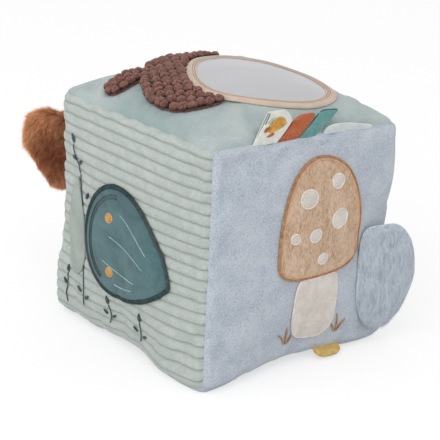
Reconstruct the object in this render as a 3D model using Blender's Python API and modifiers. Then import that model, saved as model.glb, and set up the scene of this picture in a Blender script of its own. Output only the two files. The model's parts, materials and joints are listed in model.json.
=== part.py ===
"""Soft activity block: a sewn fabric cube with a mirror, flaps, ribbon tabs and a rattle inside.

Metres, +Z up. The origin is the middle of the flat under side. The mushroom face looks
along -Y, the corduroy face along -X and the acorn mirror faces up.
"""

import math

import bmesh
import bpy
from mathutils import Matrix, Vector

# The cube
SIDE = 0.150                 # sewn edge, seam to seam
FABRIC = 0.0025              # pile cloth with its backing
CLEARANCE = 0.0003           # between pieces that touch
SEAM_RADIUS = 0.008          # how softly the cloth turns in to a seam
SEAM_PULL = 0.0015           # how far the filling draws a seam in at its middle
LOW_SEAM_BOW = 0.0015        # the lower seams bow out instead
LEFT_SEAM_SAG = 0.0012       # and hang down between the lifted corners
FRONT_SEAM_SAG = 0.0012
BASE_SPREAD = 0.0028         # how far its own weight lets the lower half sink
SEAM_RISE = 0.0055           # how far the filling lifts the lower corners off the floor
SIDE_CROWN = 0.0065          # how far a side panel bulges
TOP_CROWN = 0.0174           # the top bulges more, over the mirror's padding
BASE_CROWN = 0.006           # the floor presses this crown flat
FILLING_EASE = 0.0008        # room for the seam allowances round the filling

# Corners of a stuffed cube are never quite square
RIGHT_SLUMP_OUT = 0.001
RIGHT_SLUMP_DOWN = 0.0060
LEFT_SLUMP_IN = 0.001
LEFT_SLUMP_UP = 0.0012
FAR_SLUMP_DOWN = 0.0060
BACK_SLUMP_DOWN = 0.0040

# Jumbo corduroy
RIB_PITCH = 0.0068
RIB_DEPTH = 0.0011

# Mirror and its acorn, placed from the middle of the top
NUT_X = 0.0030
NUT_Y = -0.0120
NUT_TIP_REACH = 0.055        # middle of the nut to its tip
NUT_BACK_REACH = 0.037       # middle of the nut to its cap
NUT_HALF_WIDTH = 0.042
PAD_THICKNESS = 0.0006
MIRROR_THICKNESS = 0.0006
BEZEL_WIDTH = 0.0068
BEZEL_SKIRT = 0.0015         # cloth beside the mirror's edge
BEZEL_THICKNESS = 0.0008
BEZEL_ROUND = 0.0004
CAP_DEPTH = 0.0270           # bezel to the cap's outer edge
CAP_THICKNESS = 0.0047
CAP_LEAN = 0.08               # how much deeper its near end is
CAP_TAPER = 3.2              # how abruptly its two ends narrow
CAP_END = 0.97               # where they are cut, as a share of the spread
STEM_X = -0.0520
STEM_Y = 0.0362
STEM_REACH = 0.0145
STEM_HALF_WIDTH = 0.0084

# Mushroom, placed from the middle of the front
APPLIQUE = 0.0016            # pile cloth sewn down on a panel
APPLIQUE_EDGE = 0.0008
MUSHROOM_X = 0.0080
MUSHROOM_CAP_Z = -0.0020
MUSHROOM_CAP_UP = 0.0600
MUSHROOM_CAP_DOWN = 0.0150
MUSHROOM_CAP_HALF_WIDTH = 0.0320
STALK_DROP = 0.0200          # middle of the cap to middle of the stalk
STALK_REACH = 0.0235
STALK_HALF_WIDTH = 0.0170

# Leaf and petal, placed from the middle of the corduroy face, along its own right and up
LEAF_X = 0.0060
LEAF_Z = -0.0080
LEAF_HALF_LENGTH = 0.0405
LEAF_HALF_WIDTH = 0.0340
PETAL_X = -0.0475
PETAL_Z = -0.0090
PETAL_HALF_LENGTH = 0.0310
PETAL_HALF_WIDTH = 0.0105

# Lift flap, a stuffed half round hinged along its straight edge
FLAP_X = 0.0440
FLAP_Z = 0.0485
FLAP_LENGTH = 0.0425
FLAP_HALF_HEIGHT = 0.0365
FLAP_FRONT_SWELL = 0.0060
FLAP_BACK_SWELL = 0.0022
FLAP_CLOTH = 0.0012
FLAP_FOOT = FLAP_LENGTH * 0.48   # its widest place, from the hinge

# Fur tail, sewn to the back near the corduroy edge
TAIL_X = -0.0550
TAIL_Z = 0.1020
TAIL_LENGTH = 0.0455
TAIL_HALF_HEIGHT = 0.0280
TAIL_SWELL = 0.0140
TAIL_CLOTH = 0.0025
TAIL_FOOT = TAIL_LENGTH * 0.42

# Ribbon tabs along the top front seam, from left to right
TAPE = 0.0007
TAPE_FOOT = 0.0009           # half of the tape's two layers where they are sewn in
TAPE_LOOP = 0.0018           # half of the loop's thickness at its fold
TAPE_STITCH = 0.0025         # how high the two layers are sewn together
TABS_START_X = -0.0420
TAB_GAP = 0.0012
WHITE_TAB_WIDTH = 0.0195
RUST_TAB_WIDTH = 0.0150
TEAL_TAB_WIDTH = 0.0135
WHITE_TAB_HEIGHT = 0.0175
TAB_HEIGHT = 0.0125
LABEL_WIDTH = 0.0390
LABEL_HEIGHT = 0.0042
LABEL_GAP = 0.0006
BASE_TAB_X = 0.0250
BASE_TAB_WIDTH = 0.0200
BASE_TAB_LENGTH = 0.0062

# Rattle in the middle of the filling
RATTLE_RADIUS = 0.018
RATTLE_WALL = 0.0016
RATTLE_LIP = 0.0020
POCKET_EASE = 0.0006
BEAD_RADIUS = 0.0026
BEAD_RING = 0.0060           # the beads' distance from the middle

# Powers of the outlines: 2 is round, more is squarer, less is more pointed
MUSHROOM_TOP_POWER = 2.3
MUSHROOM_RIM_POWER = 2.8
STALK_POWER = 3.2
STEM_POWER = 3
NUT_BACK_POWER = 2.5
LEAF_POINT_POWER = 0.7
LEAF_FULLNESS = 1.25
FLAP_UPPER_POWER = 2.1
FLAP_LOWER_POWER = 1.6
FLAP_FOOT_POWER = 4
TAIL_UPPER_POWER = 2.7
TAIL_LOWER_POWER = 0.95
TAIL_FOOT_POWER = 2.8
PUFF_POWER = 0.7
DOME_POWER = 4
SOFT_EDGE = math.radians(40)     # faces that meet at less than this shade as one

# Angles and counts
FACE_STEPS = 10
RIB_COLUMNS = 8
PATCH_STEPS = 10
SMALL_STEPS = 6
POUCH_STEPS = 8
RING_STEPS = 40
CAP_STEPS = 24
CAP_ROWS = 5
TAPE_STEPS = 12
TAPE_COLUMNS = 5
TURN_STEPS = 20
ARC_STEPS = 6
NUT_TURN = math.radians(-38)
CAP_SPREAD = math.radians(71)
LEAF_TURN = math.radians(-14)
PETAL_TURN = math.radians(94)
FLAP_OPEN = math.radians(15)
TAIL_LEAN = math.radians(20)
WHITE_TAB_SHEAR = math.radians(27)
TAB_SHEAR = math.radians(43)
TAB_LEAN = math.radians(4)
BEAD_COUNT = 3

HALF = SIDE / 2
MIDDLE = Vector((0, 0, HALF + SEAM_RISE))

# Where each corner of the cube gives way: its signs, and how far it moves
SLUMPS = (
    ((1, -1, 1), Vector((0, -RIGHT_SLUMP_OUT, -RIGHT_SLUMP_DOWN))),
    ((-1, -1, 1), Vector((0, LEFT_SLUMP_IN, LEFT_SLUMP_UP))),
    ((1, 1, 1), Vector((0, 0, -FAR_SLUMP_DOWN))),
    ((-1, 1, 1), Vector((0, 0, -BACK_SLUMP_DOWN))),
)

# Soft places along the seams: where, how far they reach as a share of half a side, how far they move
SOFT_SPOTS = (
    ((1, -1, 0.45), 0.55, Vector((0.0032, -0.0012, 0))),
    ((1, -1, 1), 0.40, Vector((-0.0010, 0, -0.0020))),
    ((1, -0.3, 1), 0.60, Vector((0, 0, -0.0014))),
    ((0.5, 0.3, 1), 0.50, Vector((0, 0, -0.0012))),
    ((-1, -0.56, -1), 0.38, Vector((-0.0026, 0, -0.0022))),
    ((-0.1, -1, -1), 0.45, Vector((0, 0.0010, 0.0030))),
    ((0.85, -1, -1), 0.40, Vector((0.0010, -0.0030, -0.0010))),
    ((-1, -0.12, -1), 0.38, Vector((0.0008, 0, 0.0034))),
    ((-0.85, -1, -1), 0.30, Vector((0, -0.0015, -0.0016))),
    ((-0.35, 1, 1), 0.40, Vector((0, 0, 0.0012))),
    ((-1, 1, -0.72), 0.32, Vector((-0.0019, 0.0017, 0))),
)

COLOURS = {
    "blue_plush": ((0.40, 0.48, 0.56), 0.95),
    "mint_corduroy": ((0.54, 0.61, 0.57), 0.95),
    "green_velour": ((0.43, 0.53, 0.52), 0.90),
    "fibre": ((0.90, 0.90, 0.88), 1.00),
    "clear_plastic": ((0.75, 0.78, 0.80), 0.30),
    "bead_plastic": ((0.80, 0.45, 0.15), 0.35),
    "foam": ((0.85, 0.85, 0.82), 0.95),
    "mirror_film": ((0.85, 0.86, 0.88), 0.05),
    "tan_cloth": ((0.72, 0.55, 0.38), 0.85),
    "brown_popcorn": ((0.15, 0.07, 0.06), 0.95),
    "tan_plush": ((0.55, 0.38, 0.25), 0.95),
    "cream_plush": ((0.69, 0.64, 0.60), 0.95),
    "teal_velvet": ((0.11, 0.20, 0.22), 0.85),
    "brown_fur": ((0.30, 0.12, 0.05), 1.00),
    "white_tape": ((0.80, 0.82, 0.78), 0.80),
    "rust_tape": ((0.40, 0.09, 0.03), 0.85),
    "teal_tape": ((0.15, 0.32, 0.30), 0.80),
    "ochre_tape": ((0.69, 0.48, 0.17), 0.85),
}


class Face:
    """One side of the cube: its outward normal, its own right and up, and its crown."""

    def __init__(self, normal, right, up, crown):
        self.normal = Vector(normal)
        self.right = Vector(right)
        self.up = Vector(up)
        self.crown = crown


FRONT = Face((0, -1, 0), (1, 0, 0), (0, 0, 1), SIDE_CROWN)
LEFT = Face((-1, 0, 0), (0, -1, 0), (0, 0, 1), SIDE_CROWN)
BACK = Face((0, 1, 0), (-1, 0, 0), (0, 0, 1), SIDE_CROWN)
RIGHT = Face((1, 0, 0), (0, 1, 0), (0, 0, 1), SIDE_CROWN)
TOP = Face((0, 0, 1), (1, 0, 0), (0, 1, 0), TOP_CROWN)
BASE = Face((0, 0, -1), (1, 0, 0), (0, -1, 0), BASE_CROWN)
FACES = (FRONT, LEFT, BACK, RIGHT, TOP, BASE)


def clear_scene():
    """Remove what Blender starts with."""
    for obj in list(bpy.data.objects):
        bpy.data.objects.remove(obj, do_unlink=True)


def make_collection(name):
    """A collection of its own in the scene."""
    collection = bpy.data.collections.new(name)
    bpy.context.scene.collection.children.link(collection)
    return collection


def make_material(name):
    """A plain surface with the cloth's or plastic's colour and roughness."""
    colour, roughness = COLOURS[name]
    material = bpy.data.materials.new(name)
    material.use_nodes = True
    shader = material.node_tree.nodes["Principled BSDF"]
    shader.inputs["Base Color"].default_value = (*colour, 1)
    shader.inputs["Roughness"].default_value = roughness
    shader.inputs["Metallic"].default_value = 1 if name == "mirror_film" else 0
    material.diffuse_color = (*colour, 1)
    return material


clear_scene()
PARTS = make_collection("soft_activity_block")
CUTTERS = make_collection("cutters")
MATERIALS = {name: make_material(name) for name in COLOURS}


def add_object(name, mesh, material, parent=None, collection=PARTS):
    """Put a mesh in the scene under its piece's name."""
    obj = bpy.data.objects.new(name, mesh)
    obj.data.materials.append(MATERIALS[material])
    obj.parent = parent
    collection.objects.link(obj)
    return obj


def solid(name, bm, material, parent=None, collection=PARTS):
    """Turn a bmesh into a smooth shaded object with its faces pointing out."""
    bmesh.ops.recalc_face_normals(bm, faces=bm.faces)
    if bm.calc_volume(signed=True) < 0:
        bmesh.ops.reverse_faces(bm, faces=bm.faces)
    mesh = bpy.data.meshes.new(name)
    bm.to_mesh(mesh)
    bm.free()
    mesh.shade_smooth()
    mesh.set_sharp_from_angle(angle=SOFT_EDGE)
    return add_object(name, mesh, material, parent, collection)


def make_pivot(name, frame):
    """An empty on a moving piece's axis."""
    pivot = bpy.data.objects.new(name, None)
    pivot.matrix_world = frame
    pivot.empty_display_size = HALF / 4
    PARTS.objects.link(pivot)
    return pivot


def seam_draw(seam):
    """How far the middle of a seam is drawn, from the way that the seam looks."""
    if seam.z >= 0:
        return seam * -SEAM_PULL
    sag = LEFT_SEAM_SAG if seam.x < 0 else FRONT_SEAM_SAG
    return Vector((seam.x * LOW_SEAM_BOW, seam.y * LOW_SEAM_BOW, -sag))


def skin(face, u, v):
    """The point of the sewn surface at shares u, v of a face, each from -1 to 1."""
    flat = HALF - SEAM_RADIUS
    x, y = u * HALF, v * HALF
    core_x = max(-flat, min(flat, x))
    core_y = max(-flat, min(flat, y))
    turn = Vector((x - core_x, y - core_y, SEAM_RADIUS)).normalized() * SEAM_RADIUS
    across, upward = 1 - u * u, 1 - v * v
    point = face.right * (core_x + turn.x) + face.up * (core_y + turn.y)
    point += face.normal * (flat + turn.z + face.crown * across * upward)
    for along, toward, share in ((u, face.right, upward), (v, face.up, across)):
        point += seam_draw(toward * math.copysign(1, along) + face.normal) * share * abs(along) ** 3
    place = face.right * u + face.up * v + face.normal
    for signs, move in SLUMPS:
        share = 1
        for sign, part in zip(signs, place):
            share *= (1 + sign * part) / 2
        point += share * share * move
    for spot, reach, move in SOFT_SPOTS:
        point += math.exp(-((place - Vector(spot)).length / reach) ** 2) * move
    point.z -= BASE_SPREAD * (1 - place.z) / 2
    point += MIDDLE
    if face is BASE:
        point.z = max(point.z, 0)
    return point


def lifted(face, u, v, lift):
    """A point above the sewn surface, along its own normal."""
    step = 1 / 512
    along = skin(face, u + step, v) - skin(face, u - step, v)
    upward = skin(face, u, v + step) - skin(face, u, v - step)
    return skin(face, u, v) + along.cross(upward).normalized() * lift


def inset(point, depth):
    """The point as far in towards the cube's middle as a layer of this depth takes it."""
    return MIDDLE + (point - MIDDLE) * (HALF - depth) / HALF


def ease(share):
    """Crowd a grid's lines towards the seams, where the surface turns most."""
    return share * (3 - share * share) / 2


def sheet_solid(name, columns, rows, outer, inner, material, parent=None, weld=False):
    """A closed piece from a grid: one side placed by outer(a, b), the other by inner(a, b)."""
    bm = bmesh.new()
    bmesh.ops.create_grid(bm, x_segments=columns, y_segments=rows, size=1)
    copied = bmesh.ops.extrude_face_region(bm, geom=bm.faces[:])["geom"]
    far = {item for item in copied if isinstance(item, bmesh.types.BMVert)}
    for vert in bm.verts:
        place = inner if vert in far else outer
        vert.co = place(vert.co.x, vert.co.y)
    if weld:
        bmesh.ops.remove_doubles(bm, verts=bm.verts, dist=CLEARANCE / 20)
    return solid(name, bm, material, parent)


def face_panel(name, face, material):
    """A crowned panel whose edges are mitred into the seams."""
    edge = 1 - CLEARANCE / HALF

    def outer(a, b):
        return skin(face, ease(a) * edge, ease(b) * edge)

    def inner(a, b):
        return inset(outer(a, b), FABRIC)

    return sheet_solid(name, FACE_STEPS, FACE_STEPS, outer, inner, material)


def corduroy_panel():
    """The ribbed panel: flat crests between narrow grooves that run level."""
    edge = 1 - CLEARANCE / HALF
    ribs = round(SIDE / RIB_PITCH)
    phase_shares = (0, 0.24, 0.76)
    rows = ribs * len(phase_shares)

    def place(a, b):
        row = round((b + 1) / 2 * rows)
        rib, phase = divmod(row, len(phase_shares))
        v = 2 * (rib + phase_shares[phase]) / ribs - 1
        return ease(a) * edge, v * edge, RIB_DEPTH if phase == 0 else 0

    def outer(a, b):
        u, v, depth = place(a, b)
        return inset(skin(LEFT, u, v), depth)

    def inner(a, b):
        u, v, _ = place(a, b)
        return inset(skin(LEFT, u, v), FABRIC)

    return sheet_solid("corduroy_panel", RIB_COLUMNS, rows, outer, inner, "mint_corduroy")


def filling_half(name, upper, pocket):
    """Half of the fibre filling, with its half of the rattle's pocket."""
    bm = bmesh.new()
    bmesh.ops.create_cube(bm, size=2)
    bmesh.ops.subdivide_edges(bm, edges=bm.edges[:], cuts=POUCH_STEPS - 1, use_grid_fill=True)
    for vert in bm.verts:
        place = vert.co.copy()
        face = max(FACES, key=lambda side: side.normal.dot(place))
        u, v = place.dot(face.right), place.dot(face.up)
        vert.co = inset(skin(face, ease(u), ease(v)), FABRIC + FILLING_EASE)
    side = 1 if upper else -1
    cut = bmesh.ops.bisect_plane(
        bm,
        geom=bm.verts[:] + bm.edges[:] + bm.faces[:],
        dist=CLEARANCE / 20,
        plane_co=MIDDLE + Vector((0, 0, side * CLEARANCE / 2)),
        plane_no=(0, 0, side),
        clear_inner=True,
    )
    rim = [item for item in cut["geom_cut"] if isinstance(item, bmesh.types.BMEdge)]
    bmesh.ops.contextual_create(bm, geom=rim)
    half = solid(name, bm, "fibre")
    hollow = half.modifiers.new("pocket", "BOOLEAN")
    hollow.operation = "DIFFERENCE"
    hollow.object = pocket
    return half


def pocket_cutter():
    """The room for the rattle between the two halves of the filling."""
    bm = bmesh.new()
    bmesh.ops.create_uvsphere(
        bm,
        u_segments=TURN_STEPS,
        v_segments=ARC_STEPS * 2,
        radius=RATTLE_RADIUS + POCKET_EASE,
    )
    bmesh.ops.translate(bm, verts=bm.verts, vec=MIDDLE)
    cutter = solid("pocket_cutter", bm, "fibre", collection=CUTTERS)
    cutter.hide_render = True
    cutter.display_type = "WIRE"


def turned(name, profile, material):
    """A turned piece round the rattle's upright axis, from its profile of radius and height."""
    mesh = bpy.data.meshes.new(name)
    points = [(radius, 0, height) for radius, height in profile]
    mesh.from_pydata(points, [(i, i + 1) for i in range(len(points) - 1)], [])
    obj = add_object(name, mesh, material)
    obj.location = MIDDLE
    screw = obj.modifiers.new("turn", "SCREW")
    screw.axis = "Z"
    screw.steps = TURN_STEPS
    screw.render_steps = TURN_STEPS
    screw.use_merge_vertices = True
    screw.merge_threshold = CLEARANCE / 3
    return obj


def arc(radius, start, end):
    """Points along part of a circle, from one angle above the level to another, in degrees."""
    angles = [math.radians(start + (end - start) * i / ARC_STEPS) for i in range(ARC_STEPS + 1)]
    return [(max(0, radius * math.cos(angle)), radius * math.sin(angle)) for angle in angles]


def rattle_case():
    """Two cups of a round case, the lower one's lip inside the upper one's rim."""
    inner = RATTLE_RADIUS - RATTLE_WALL
    half_gap = CLEARANCE / 2
    lip_out = RATTLE_RADIUS - RATTLE_WALL / 2 - half_gap
    rim_in = lip_out + CLEARANCE
    lower = arc(inner, -90, 0) + [(inner, RATTLE_LIP), (lip_out, RATTLE_LIP), (lip_out, -half_gap)]
    lower += [(RATTLE_RADIUS, -half_gap)] + arc(RATTLE_RADIUS, 0, -90)[1:]
    top = RATTLE_LIP + CLEARANCE
    shoulder = math.degrees(math.asin(top / inner))
    upper = arc(RATTLE_RADIUS, 90, 0)[:-1] + [(RATTLE_RADIUS, half_gap), (rim_in, half_gap)]
    upper += [(rim_in, top)] + arc(inner, shoulder, 90)
    turned("rattle_case_lower", lower, "clear_plastic")
    turned("rattle_case_upper", upper, "clear_plastic")


def bead(index):
    """A loose bead at rest in the bottom of the case."""
    angle = math.tau * index / BEAD_COUNT
    bowl = RATTLE_RADIUS - RATTLE_WALL - CLEARANCE * 2 - BEAD_RADIUS
    drop = math.sqrt(bowl ** 2 - BEAD_RING ** 2)
    spot = Vector((BEAD_RING * math.cos(angle), BEAD_RING * math.sin(angle), -drop))
    bm = bmesh.new()
    bmesh.ops.create_uvsphere(bm, u_segments=10, v_segments=6, radius=BEAD_RADIUS)
    obj = solid(f"bead_{index + 1}", bm, "bead_plastic")
    obj.location = MIDDLE + spot


def disc(a, b):
    """A square grid's place as a disc's: its share out from the middle, and its angle."""
    x = a * math.sqrt(1 - b * b / 2)
    y = b * math.sqrt(1 - a * a / 2)
    return min(1, math.hypot(x, y)), math.atan2(y, x)


def oval(angle, forward, back, side, power=2, back_power=2):
    """A point of an oval's outline that may be longer, or squarer, one way than the other."""
    along, across = math.cos(angle), math.sin(angle)
    length, shape = (forward, power) if along > 0 else (back, back_power)
    reach = (abs(along / length) ** shape + abs(across / side) ** shape) ** (-1 / shape)
    return Vector((along * reach, across * reach))


def leaf(angle, half_length, half_width):
    """A point of a leaf's outline, pointed at angle 0 and round at its foot."""
    width = LEAF_FULLNESS * half_width * abs(math.sin(angle / 2)) ** LEAF_POINT_POWER
    return Vector((half_length * math.cos(angle), width * math.sin(angle)))


def on_face(face, point, lift):
    """A place on a face, given in metres from its middle, at a height above the cloth."""
    return lifted(face, point.x / HALF, point.y / HALF, lift)


def turned_to(point, turn, centre):
    """Turn a point of an outline and move it to the outline's middle."""
    return Matrix.Rotation(turn, 2) @ point + centre


def patch(name, face, centre, turn, outline, steps, material, base, edge, dome, clip=None):
    """A domed piece sewn flat on a face, from its outline round its own middle."""

    def spot(a, b):
        share, angle = disc(a, b)
        point = turned_to(outline(angle) * share, turn, centre)
        return share, clip(point) if clip else point

    def outer(a, b):
        share, point = spot(a, b)
        return on_face(face, point, base + edge + (dome - edge) * (1 - share ** DOME_POWER))

    def inner(a, b):
        return on_face(face, spot(a, b)[1], base)

    return sheet_solid(name, steps, steps, outer, inner, material)


def nut_outline(angle, margin=0):
    """The acorn's nut round its own middle, its tip at angle 0, grown by a margin."""
    return oval(angle, NUT_TIP_REACH + margin, NUT_BACK_REACH + margin, NUT_HALF_WIDTH + margin, 2,
                NUT_BACK_POWER)


NUT_CENTRE = Vector((NUT_X, NUT_Y))
MIRROR_INSET = BEZEL_SKIRT + CLEARANCE
MIRROR_BASE = PAD_THICKNESS + CLEARANCE * 2
MIRROR_TOP = MIRROR_BASE + MIRROR_THICKNESS
BEZEL_TOP = MIRROR_TOP + CLEARANCE + BEZEL_THICKNESS


def mirror_layer(name, base, thickness, material):
    """A flat layer under the bezel, with the nut's outline."""

    def outline(angle):
        return nut_outline(angle, -MIRROR_INSET)

    patch(name, TOP, NUT_CENTRE, NUT_TURN, outline, PATCH_STEPS, material, base, thickness, thickness)


def mirror_bezel():
    """The stitched ring that folds over the mirror's edge, with its skirt down to the top."""
    section = (
        (0, CLEARANCE),
        (0, BEZEL_TOP - BEZEL_ROUND),
        (-BEZEL_ROUND, BEZEL_TOP),
        (BEZEL_ROUND - BEZEL_WIDTH, BEZEL_TOP),
        (-BEZEL_WIDTH, BEZEL_TOP - BEZEL_ROUND),
        (-BEZEL_WIDTH, MIRROR_TOP + CLEARANCE),
        (-BEZEL_SKIRT, MIRROR_TOP + CLEARANCE),
        (-BEZEL_SKIRT, CLEARANCE),
    )
    bm = bmesh.new()
    bmesh.ops.create_grid(bm, x_segments=RING_STEPS, y_segments=len(section), size=1)
    for vert in bm.verts:
        margin, lift = section[round((vert.co.y + 1) / 2 * len(section)) % len(section)]
        point = turned_to(nut_outline(vert.co.x * math.pi, margin), NUT_TURN, NUT_CENTRE)
        vert.co = on_face(TOP, point, lift)
    bmesh.ops.remove_doubles(bm, verts=bm.verts, dist=CLEARANCE / 20)
    solid("mirror_bezel", bm, "tan_cloth")


def cap_reach(angle, share):
    """How far the acorn's cap goes out from the nut's middle, at a share of its depth."""
    off_axis = min(1, abs(angle) / CAP_SPREAD)
    near = nut_outline(angle + math.pi, CLEARANCE * 2).length
    depth = CAP_DEPTH * (1 + CAP_LEAN * (math.sin(angle) - 0.5))
    return near + depth * share * max(0, 1 - off_axis ** CAP_TAPER)


def acorn_cap():
    """The popcorn knit cap, a band round the back of the nut."""
    def spot(a, b):
        angle = a * CAP_SPREAD * CAP_END
        share = (b + 1) / 2
        reach = cap_reach(angle, share)
        offset = Vector((math.cos(angle + math.pi), math.sin(angle + math.pi))) * reach
        rim = max(abs(a) ** 6, abs(b) ** 4)
        return turned_to(offset, NUT_TURN, NUT_CENTRE), rim

    def outer(a, b):
        point, rim = spot(a, b)
        return on_face(TOP, point, CLEARANCE + CAP_THICKNESS * (1 - rim * 0.4))

    def inner(a, b):
        return on_face(TOP, spot(a, b)[0], CLEARANCE)

    sheet_solid("acorn_cap", CAP_STEPS, CAP_ROWS, outer, inner, "brown_popcorn")


def acorn_stem():
    """The stub at the top of the cap, cut to the cap's edge."""

    def outline(angle):
        return oval(angle, STEM_REACH, STEM_REACH, STEM_HALF_WIDTH, STEM_POWER, STEM_POWER)

    def clear_of_cap(point):
        offset = Matrix.Rotation(-NUT_TURN, 2) @ (point - NUT_CENTRE)
        angle = math.atan2(-offset.y, -offset.x)
        least = cap_reach(angle, 1) + CLEARANCE * 2
        if offset.length >= least:
            return point
        return turned_to(offset.normalized() * least, NUT_TURN, NUT_CENTRE)

    centre = Vector((STEM_X, STEM_Y))
    turn = math.radians(180)
    patch("acorn_stem", TOP, centre, turn, outline, SMALL_STEPS, "brown_popcorn",
          CLEARANCE, APPLIQUE_EDGE, CAP_THICKNESS, clear_of_cap)


def mushroom():
    """The padded mushroom on the front: a tall cap, and a stalk cut to the cap's lower edge."""
    centre = Vector((MUSHROOM_X, MUSHROOM_CAP_Z))

    def cap_outline(angle):
        return oval(angle, MUSHROOM_CAP_UP, MUSHROOM_CAP_DOWN, MUSHROOM_CAP_HALF_WIDTH,
                    MUSHROOM_TOP_POWER, MUSHROOM_RIM_POWER)

    def stalk_outline(angle):
        return oval(angle, STALK_REACH, STALK_REACH, STALK_HALF_WIDTH,
                    STALK_POWER, STALK_POWER)

    def under_cap(point):
        share = min(1, abs(point.x - centre.x) / MUSHROOM_CAP_HALF_WIDTH)
        rim = (1 - share ** MUSHROOM_RIM_POWER) ** (1 / MUSHROOM_RIM_POWER)
        low = centre.y - MUSHROOM_CAP_DOWN * rim - CLEARANCE * 2
        return Vector((point.x, min(point.y, low)))

    up = math.radians(90)
    stalk_centre = centre - Vector((0, MUSHROOM_CAP_DOWN + STALK_DROP))
    patch("mushroom_cap", FRONT, centre, up, cap_outline, PATCH_STEPS, "tan_plush",
          CLEARANCE, APPLIQUE_EDGE, APPLIQUE)
    patch("mushroom_stalk", FRONT, stalk_centre, up, stalk_outline, SMALL_STEPS, "cream_plush",
          CLEARANCE, APPLIQUE_EDGE, APPLIQUE, under_cap)


def corduroy_leaves():
    """The velvet leaf and the pale petal that lie on the ribs."""

    def leaf_outline(angle):
        return leaf(angle, LEAF_HALF_LENGTH, LEAF_HALF_WIDTH)

    def petal_outline(angle):
        return leaf(angle, PETAL_HALF_LENGTH, PETAL_HALF_WIDTH)

    patch("velvet_leaf", LEFT, Vector((LEAF_X, LEAF_Z)), LEAF_TURN, leaf_outline, PATCH_STEPS,
          "teal_velvet", CLEARANCE, APPLIQUE_EDGE, APPLIQUE)
    patch("pale_petal", LEFT, Vector((PETAL_X, PETAL_Z)), PETAL_TURN, petal_outline, SMALL_STEPS,
          "green_velour", CLEARANCE, APPLIQUE_EDGE, APPLIQUE)


def puff(share):
    """How a stuffed pouch swells from its rim to its middle."""
    return (1 - share * share) ** PUFF_POWER


def pouch(names, outline, centre, swells, cloth, materials, parent):
    """Two sewn shells and the filling between them, hinged along the parent's Z axis."""

    def shell(name, side, swell, material):
        def at(a, b, margin, height):
            share, angle = disc(a, b)
            point = outline(angle, margin) * share
            level = side * (CLEARANCE / 2 + height * puff(share))
            return Vector((centre + point.x, level, point.y))

        def outer(a, b):
            return at(a, b, 0, swell)

        def inner(a, b):
            return at(a, b, -cloth, swell - cloth)

        sheet_solid(name, POUCH_STEPS, POUCH_STEPS, outer, inner, material, parent)

    def filling_side(side, swell):
        def place(a, b):
            share, angle = disc(a, b)
            point = outline(angle, -cloth - CLEARANCE) * share
            level = side * (swell - cloth - CLEARANCE) * puff(share)
            return Vector((centre + point.x, level, point.y))

        return place

    front_swell, back_swell = swells
    shell(names[0], -1, front_swell, materials[0])
    shell(names[1], 1, back_swell, materials[0])
    sheet_solid(names[2], POUCH_STEPS, POUCH_STEPS, filling_side(-1, front_swell),
                filling_side(1, back_swell), materials[1], parent, weld=True)


def lift_flap():
    """The blue flap on the front, part open."""
    u, v = FLAP_X / HALF, (FLAP_Z - MIDDLE.z) / HALF
    peak = min(skin(FRONT, u, v + i * FLAP_HALF_HEIGHT / HALF / 4).y for i in range(-2, 3))
    axis = Vector((FLAP_X, peak - CLEARANCE * 2, FLAP_Z))
    pivot = make_pivot("flap_hinge", Matrix.Translation(axis) @ Matrix.Rotation(-FLAP_OPEN, 4, "Z"))

    def outline(angle, margin):
        tip_power = FLAP_UPPER_POWER if math.sin(angle) > 0 else FLAP_LOWER_POWER
        return oval(angle, FLAP_LENGTH - FLAP_FOOT + margin, FLAP_FOOT + margin,
                    FLAP_HALF_HEIGHT + margin, tip_power, FLAP_FOOT_POWER)

    pouch(("flap_front", "flap_back", "flap_filling"), outline, FLAP_FOOT,
          (FLAP_FRONT_SWELL, FLAP_BACK_SWELL), FLAP_CLOTH, ("blue_plush", "fibre"), pivot)


def fur_tail():
    """The stuffed fur tail on the back, leaning out past the corduroy side."""
    u, v = -TAIL_X / HALF, (TAIL_Z - MIDDLE.z) / HALF
    peak = max(skin(BACK, u, v + i * TAIL_HALF_HEIGHT / HALF / 4).y for i in range(-2, 3))
    axis = Vector((TAIL_X, peak + CLEARANCE * 2, TAIL_Z))
    turn = Matrix.Rotation(math.radians(90) + TAIL_LEAN, 4, "Z")
    pivot = make_pivot("tail_hinge", Matrix.Translation(axis) @ turn)

    def outline(angle, margin):
        tip_power = TAIL_UPPER_POWER if math.sin(angle) > 0 else TAIL_LOWER_POWER
        return oval(angle, TAIL_LENGTH - TAIL_FOOT + margin, TAIL_FOOT + margin,
                    TAIL_HALF_HEIGHT + margin, tip_power, TAIL_FOOT_POWER)

    pouch(("tail_fur_right", "tail_fur_left", "tail_filling"), outline, TAIL_FOOT,
          (TAIL_SWELL, TAIL_SWELL), TAIL_CLOTH, ("brown_fur", "fibre"), pivot)


def folded_crest(share):
    """The white tab's top edge: level, then down to a corner that is folded in."""
    return 1 - 0.42 * max(0, share - 0.4) ** 1.5 / 0.6 ** 1.5


def round_crest(share):
    """A top edge whose two corners are rounded off."""
    return 1 - 0.28 * abs(2 * share - 1) ** 4


def cut_crest(share):
    """The teal tab's top edge, with its first corner cut off."""
    return 1 - 0.22 * (1 - share) ** 4


def tongue_crest(share):
    """The lower tab's rounded tip."""
    return 1 - 0.5 * abs(2 * share - 1) ** 3


def arched_crest(share):
    """The label's low arch, highest before its middle."""
    return 0.30 + 0.70 * math.sin(math.pi * share ** 0.75)


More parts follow.
